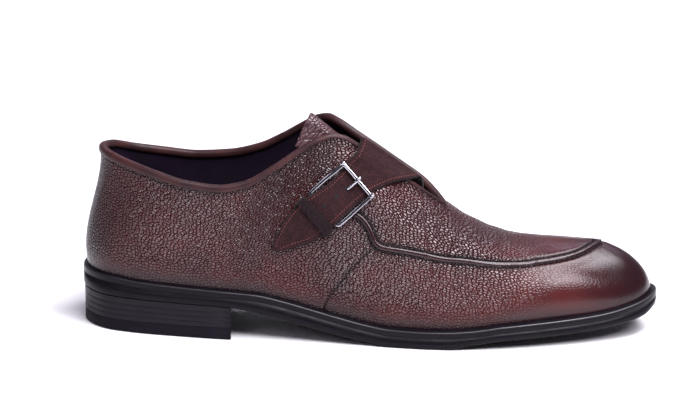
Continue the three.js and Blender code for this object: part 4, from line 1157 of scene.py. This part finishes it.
# Keeper: a band over the strap, from its upper to its lower edge; share of the width, share of the height
KEEPER_LINE = [
    (-0.085, 0), (-0.090, 0.45), (-0.080, 0.8), (-0.04, 0.97), (0.02, 1.0), (0.15, 1.02), (0.35, 1.04),
    (0.5, 1.04), (0.65, 1.04), (0.85, 1.02), (0.98, 1.0), (1.04, 0.97), (1.080, 0.8), (1.090, 0.45),
    (1.085, 0)]
KEEPER_FRONT = np.array([(0.4085, 0.610), (0.4560, 0.424)])
KEEPER_BACK = np.array([(0.3985, 0.573), (0.4440, 0.379)])
rows = []
for f in np.linspace(0, 1, 12):
    pa, pb = KEEPER_FRONT + (KEEPER_BACK - KEEPER_FRONT) * f
    seat = OVER_BAR * (1 - f) + FALLING * f
    swell = 0.25 * sin(pi * f)
    pins = []
    for u, high in KEEPER_LINE:
        a, t = pa + (pb - pa) * u
        lift = GAP + high * (seat + KEEPER_THICK + GAP / 2 + swell)
        pins.append(on_upper(-1, np.array(a), np.array(t), lift))
    rows.append(catmull(pins, 60))
rows = np.array(rows)
keeper_n = grid_normals(rows)
centre = rows.mean((0, 1))
if np.mean(np.sum(keeper_n * (rows - centre), -1)) < 0:
    keeper_n = -keeper_n
keeper = thick_by("keeper_band", rows.transpose(1, 0, 2), keeper_n.transpose(1, 0, 2), KEEPER_THICK)
finish_piece(keeper, SHADED_SUEDE_KEEPER, ["strap_keeper"])


# Floor, light, camera

floor_look = Nodes("floor_white")
floor_look.set(color=floor_look.mix(floor_look.noise(3.0), (0.90, 0.90, 0.91), (0.89, 0.89, 0.90)),
               rough=0.6, spec=0.2)
FLAT_TO = 2.6      # metres behind the shoe at which the sheet starts to rise
BEND_R = 0.5
SHEET_HALF = 4.0   # half its width, and how far it reaches in front
SHEET_TOP = 3.0


def floor_sheet():
    profile = [(-SHEET_HALF, 0.0), (FLAT_TO, 0.0)]
    profile += [(FLAT_TO + BEND_R * sin(w), BEND_R - BEND_R * cos(w)) for w in np.linspace(0.1, pi / 2, 12)]
    profile.append((FLAT_TO + BEND_R, SHEET_TOP))
    rows = np.array([[(x, y, z) for x in (-SHEET_HALF, SHEET_HALF)] for y, z in profile])
    obj = pulled_grids("floor", [rows], place=lambda p: p, rounded=False)
    obj.data.materials.append(floor_look.material)
    return obj


floor_sheet()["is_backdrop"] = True


def lamp(name, place, aim, power, width, height, color):
    data = bpy.data.lights.new(name, "AREA")
    data.shape, data.size, data.size_y, data.energy, data.color = "RECTANGLE", width, height, power, color
    obj = bpy.data.objects.new(name, data)
    obj.location = place
    obj.rotation_euler = (Vector(aim) - Vector(place)).to_track_quat("-Z", "Y").to_euler()
    bpy.context.scene.collection.objects.link(obj)
    obj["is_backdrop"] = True


lamp("top_box", (0.4, -0.35, 1.3), (0.1, -0.2, 0), 48, 1.9, 0.6, (0.975, 0.95, 1.0))
lamp("back_box", (0.0, 1.31, 1.35), (0, 0.36, 0.15), 7.4, 2.4, 0.22, (0.84, 0.78, 1.0))
lamp("left_box", (-0.8, -1.3, 1.0), (0, 0, 0.05), 3, 0.6, 0.6, (0.94, 0.90, 1.0))
lamp("right_box", (0.9, -0.9, 1.2), (0.1, 0, 0.03), 18, 0.5, 0.6, (0.97, 0.93, 1.0))
world = bpy.data.worlds.new("studio")
world.use_nodes = True
world.node_tree.nodes["Background"].inputs[0].default_value = (0.82, 0.78, 1.0, 1)
world.node_tree.nodes["Background"].inputs[1].default_value = 0.10
bpy.context.scene.world = world
bpy.context.scene.view_settings.view_transform = "Standard"

cam_data = bpy.data.cameras.new("camera")
cam = bpy.data.objects.new("camera", cam_data)
bpy.context.scene.collection.objects.link(cam)
bpy.context.scene.camera = cam
aim = in_scene(np.array([141.5, 0, 60.5]))
az, el, away = radians(4.5), radians(16), 2.0    # turned toward the toe, above level, metres away
back = np.array([sin(az) * cos(el), -cos(az) * cos(el), sin(el)])
cam.location = Vector(aim + back * away)
cam.rotation_euler = Vector(-back).to_track_quat("-Z", "Y").to_euler()
cam_data.sensor_width = 36
cam_data.lens = 195.5
cam_data.clip_start, cam_data.clip_end = 0.05, 20

lo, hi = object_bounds()
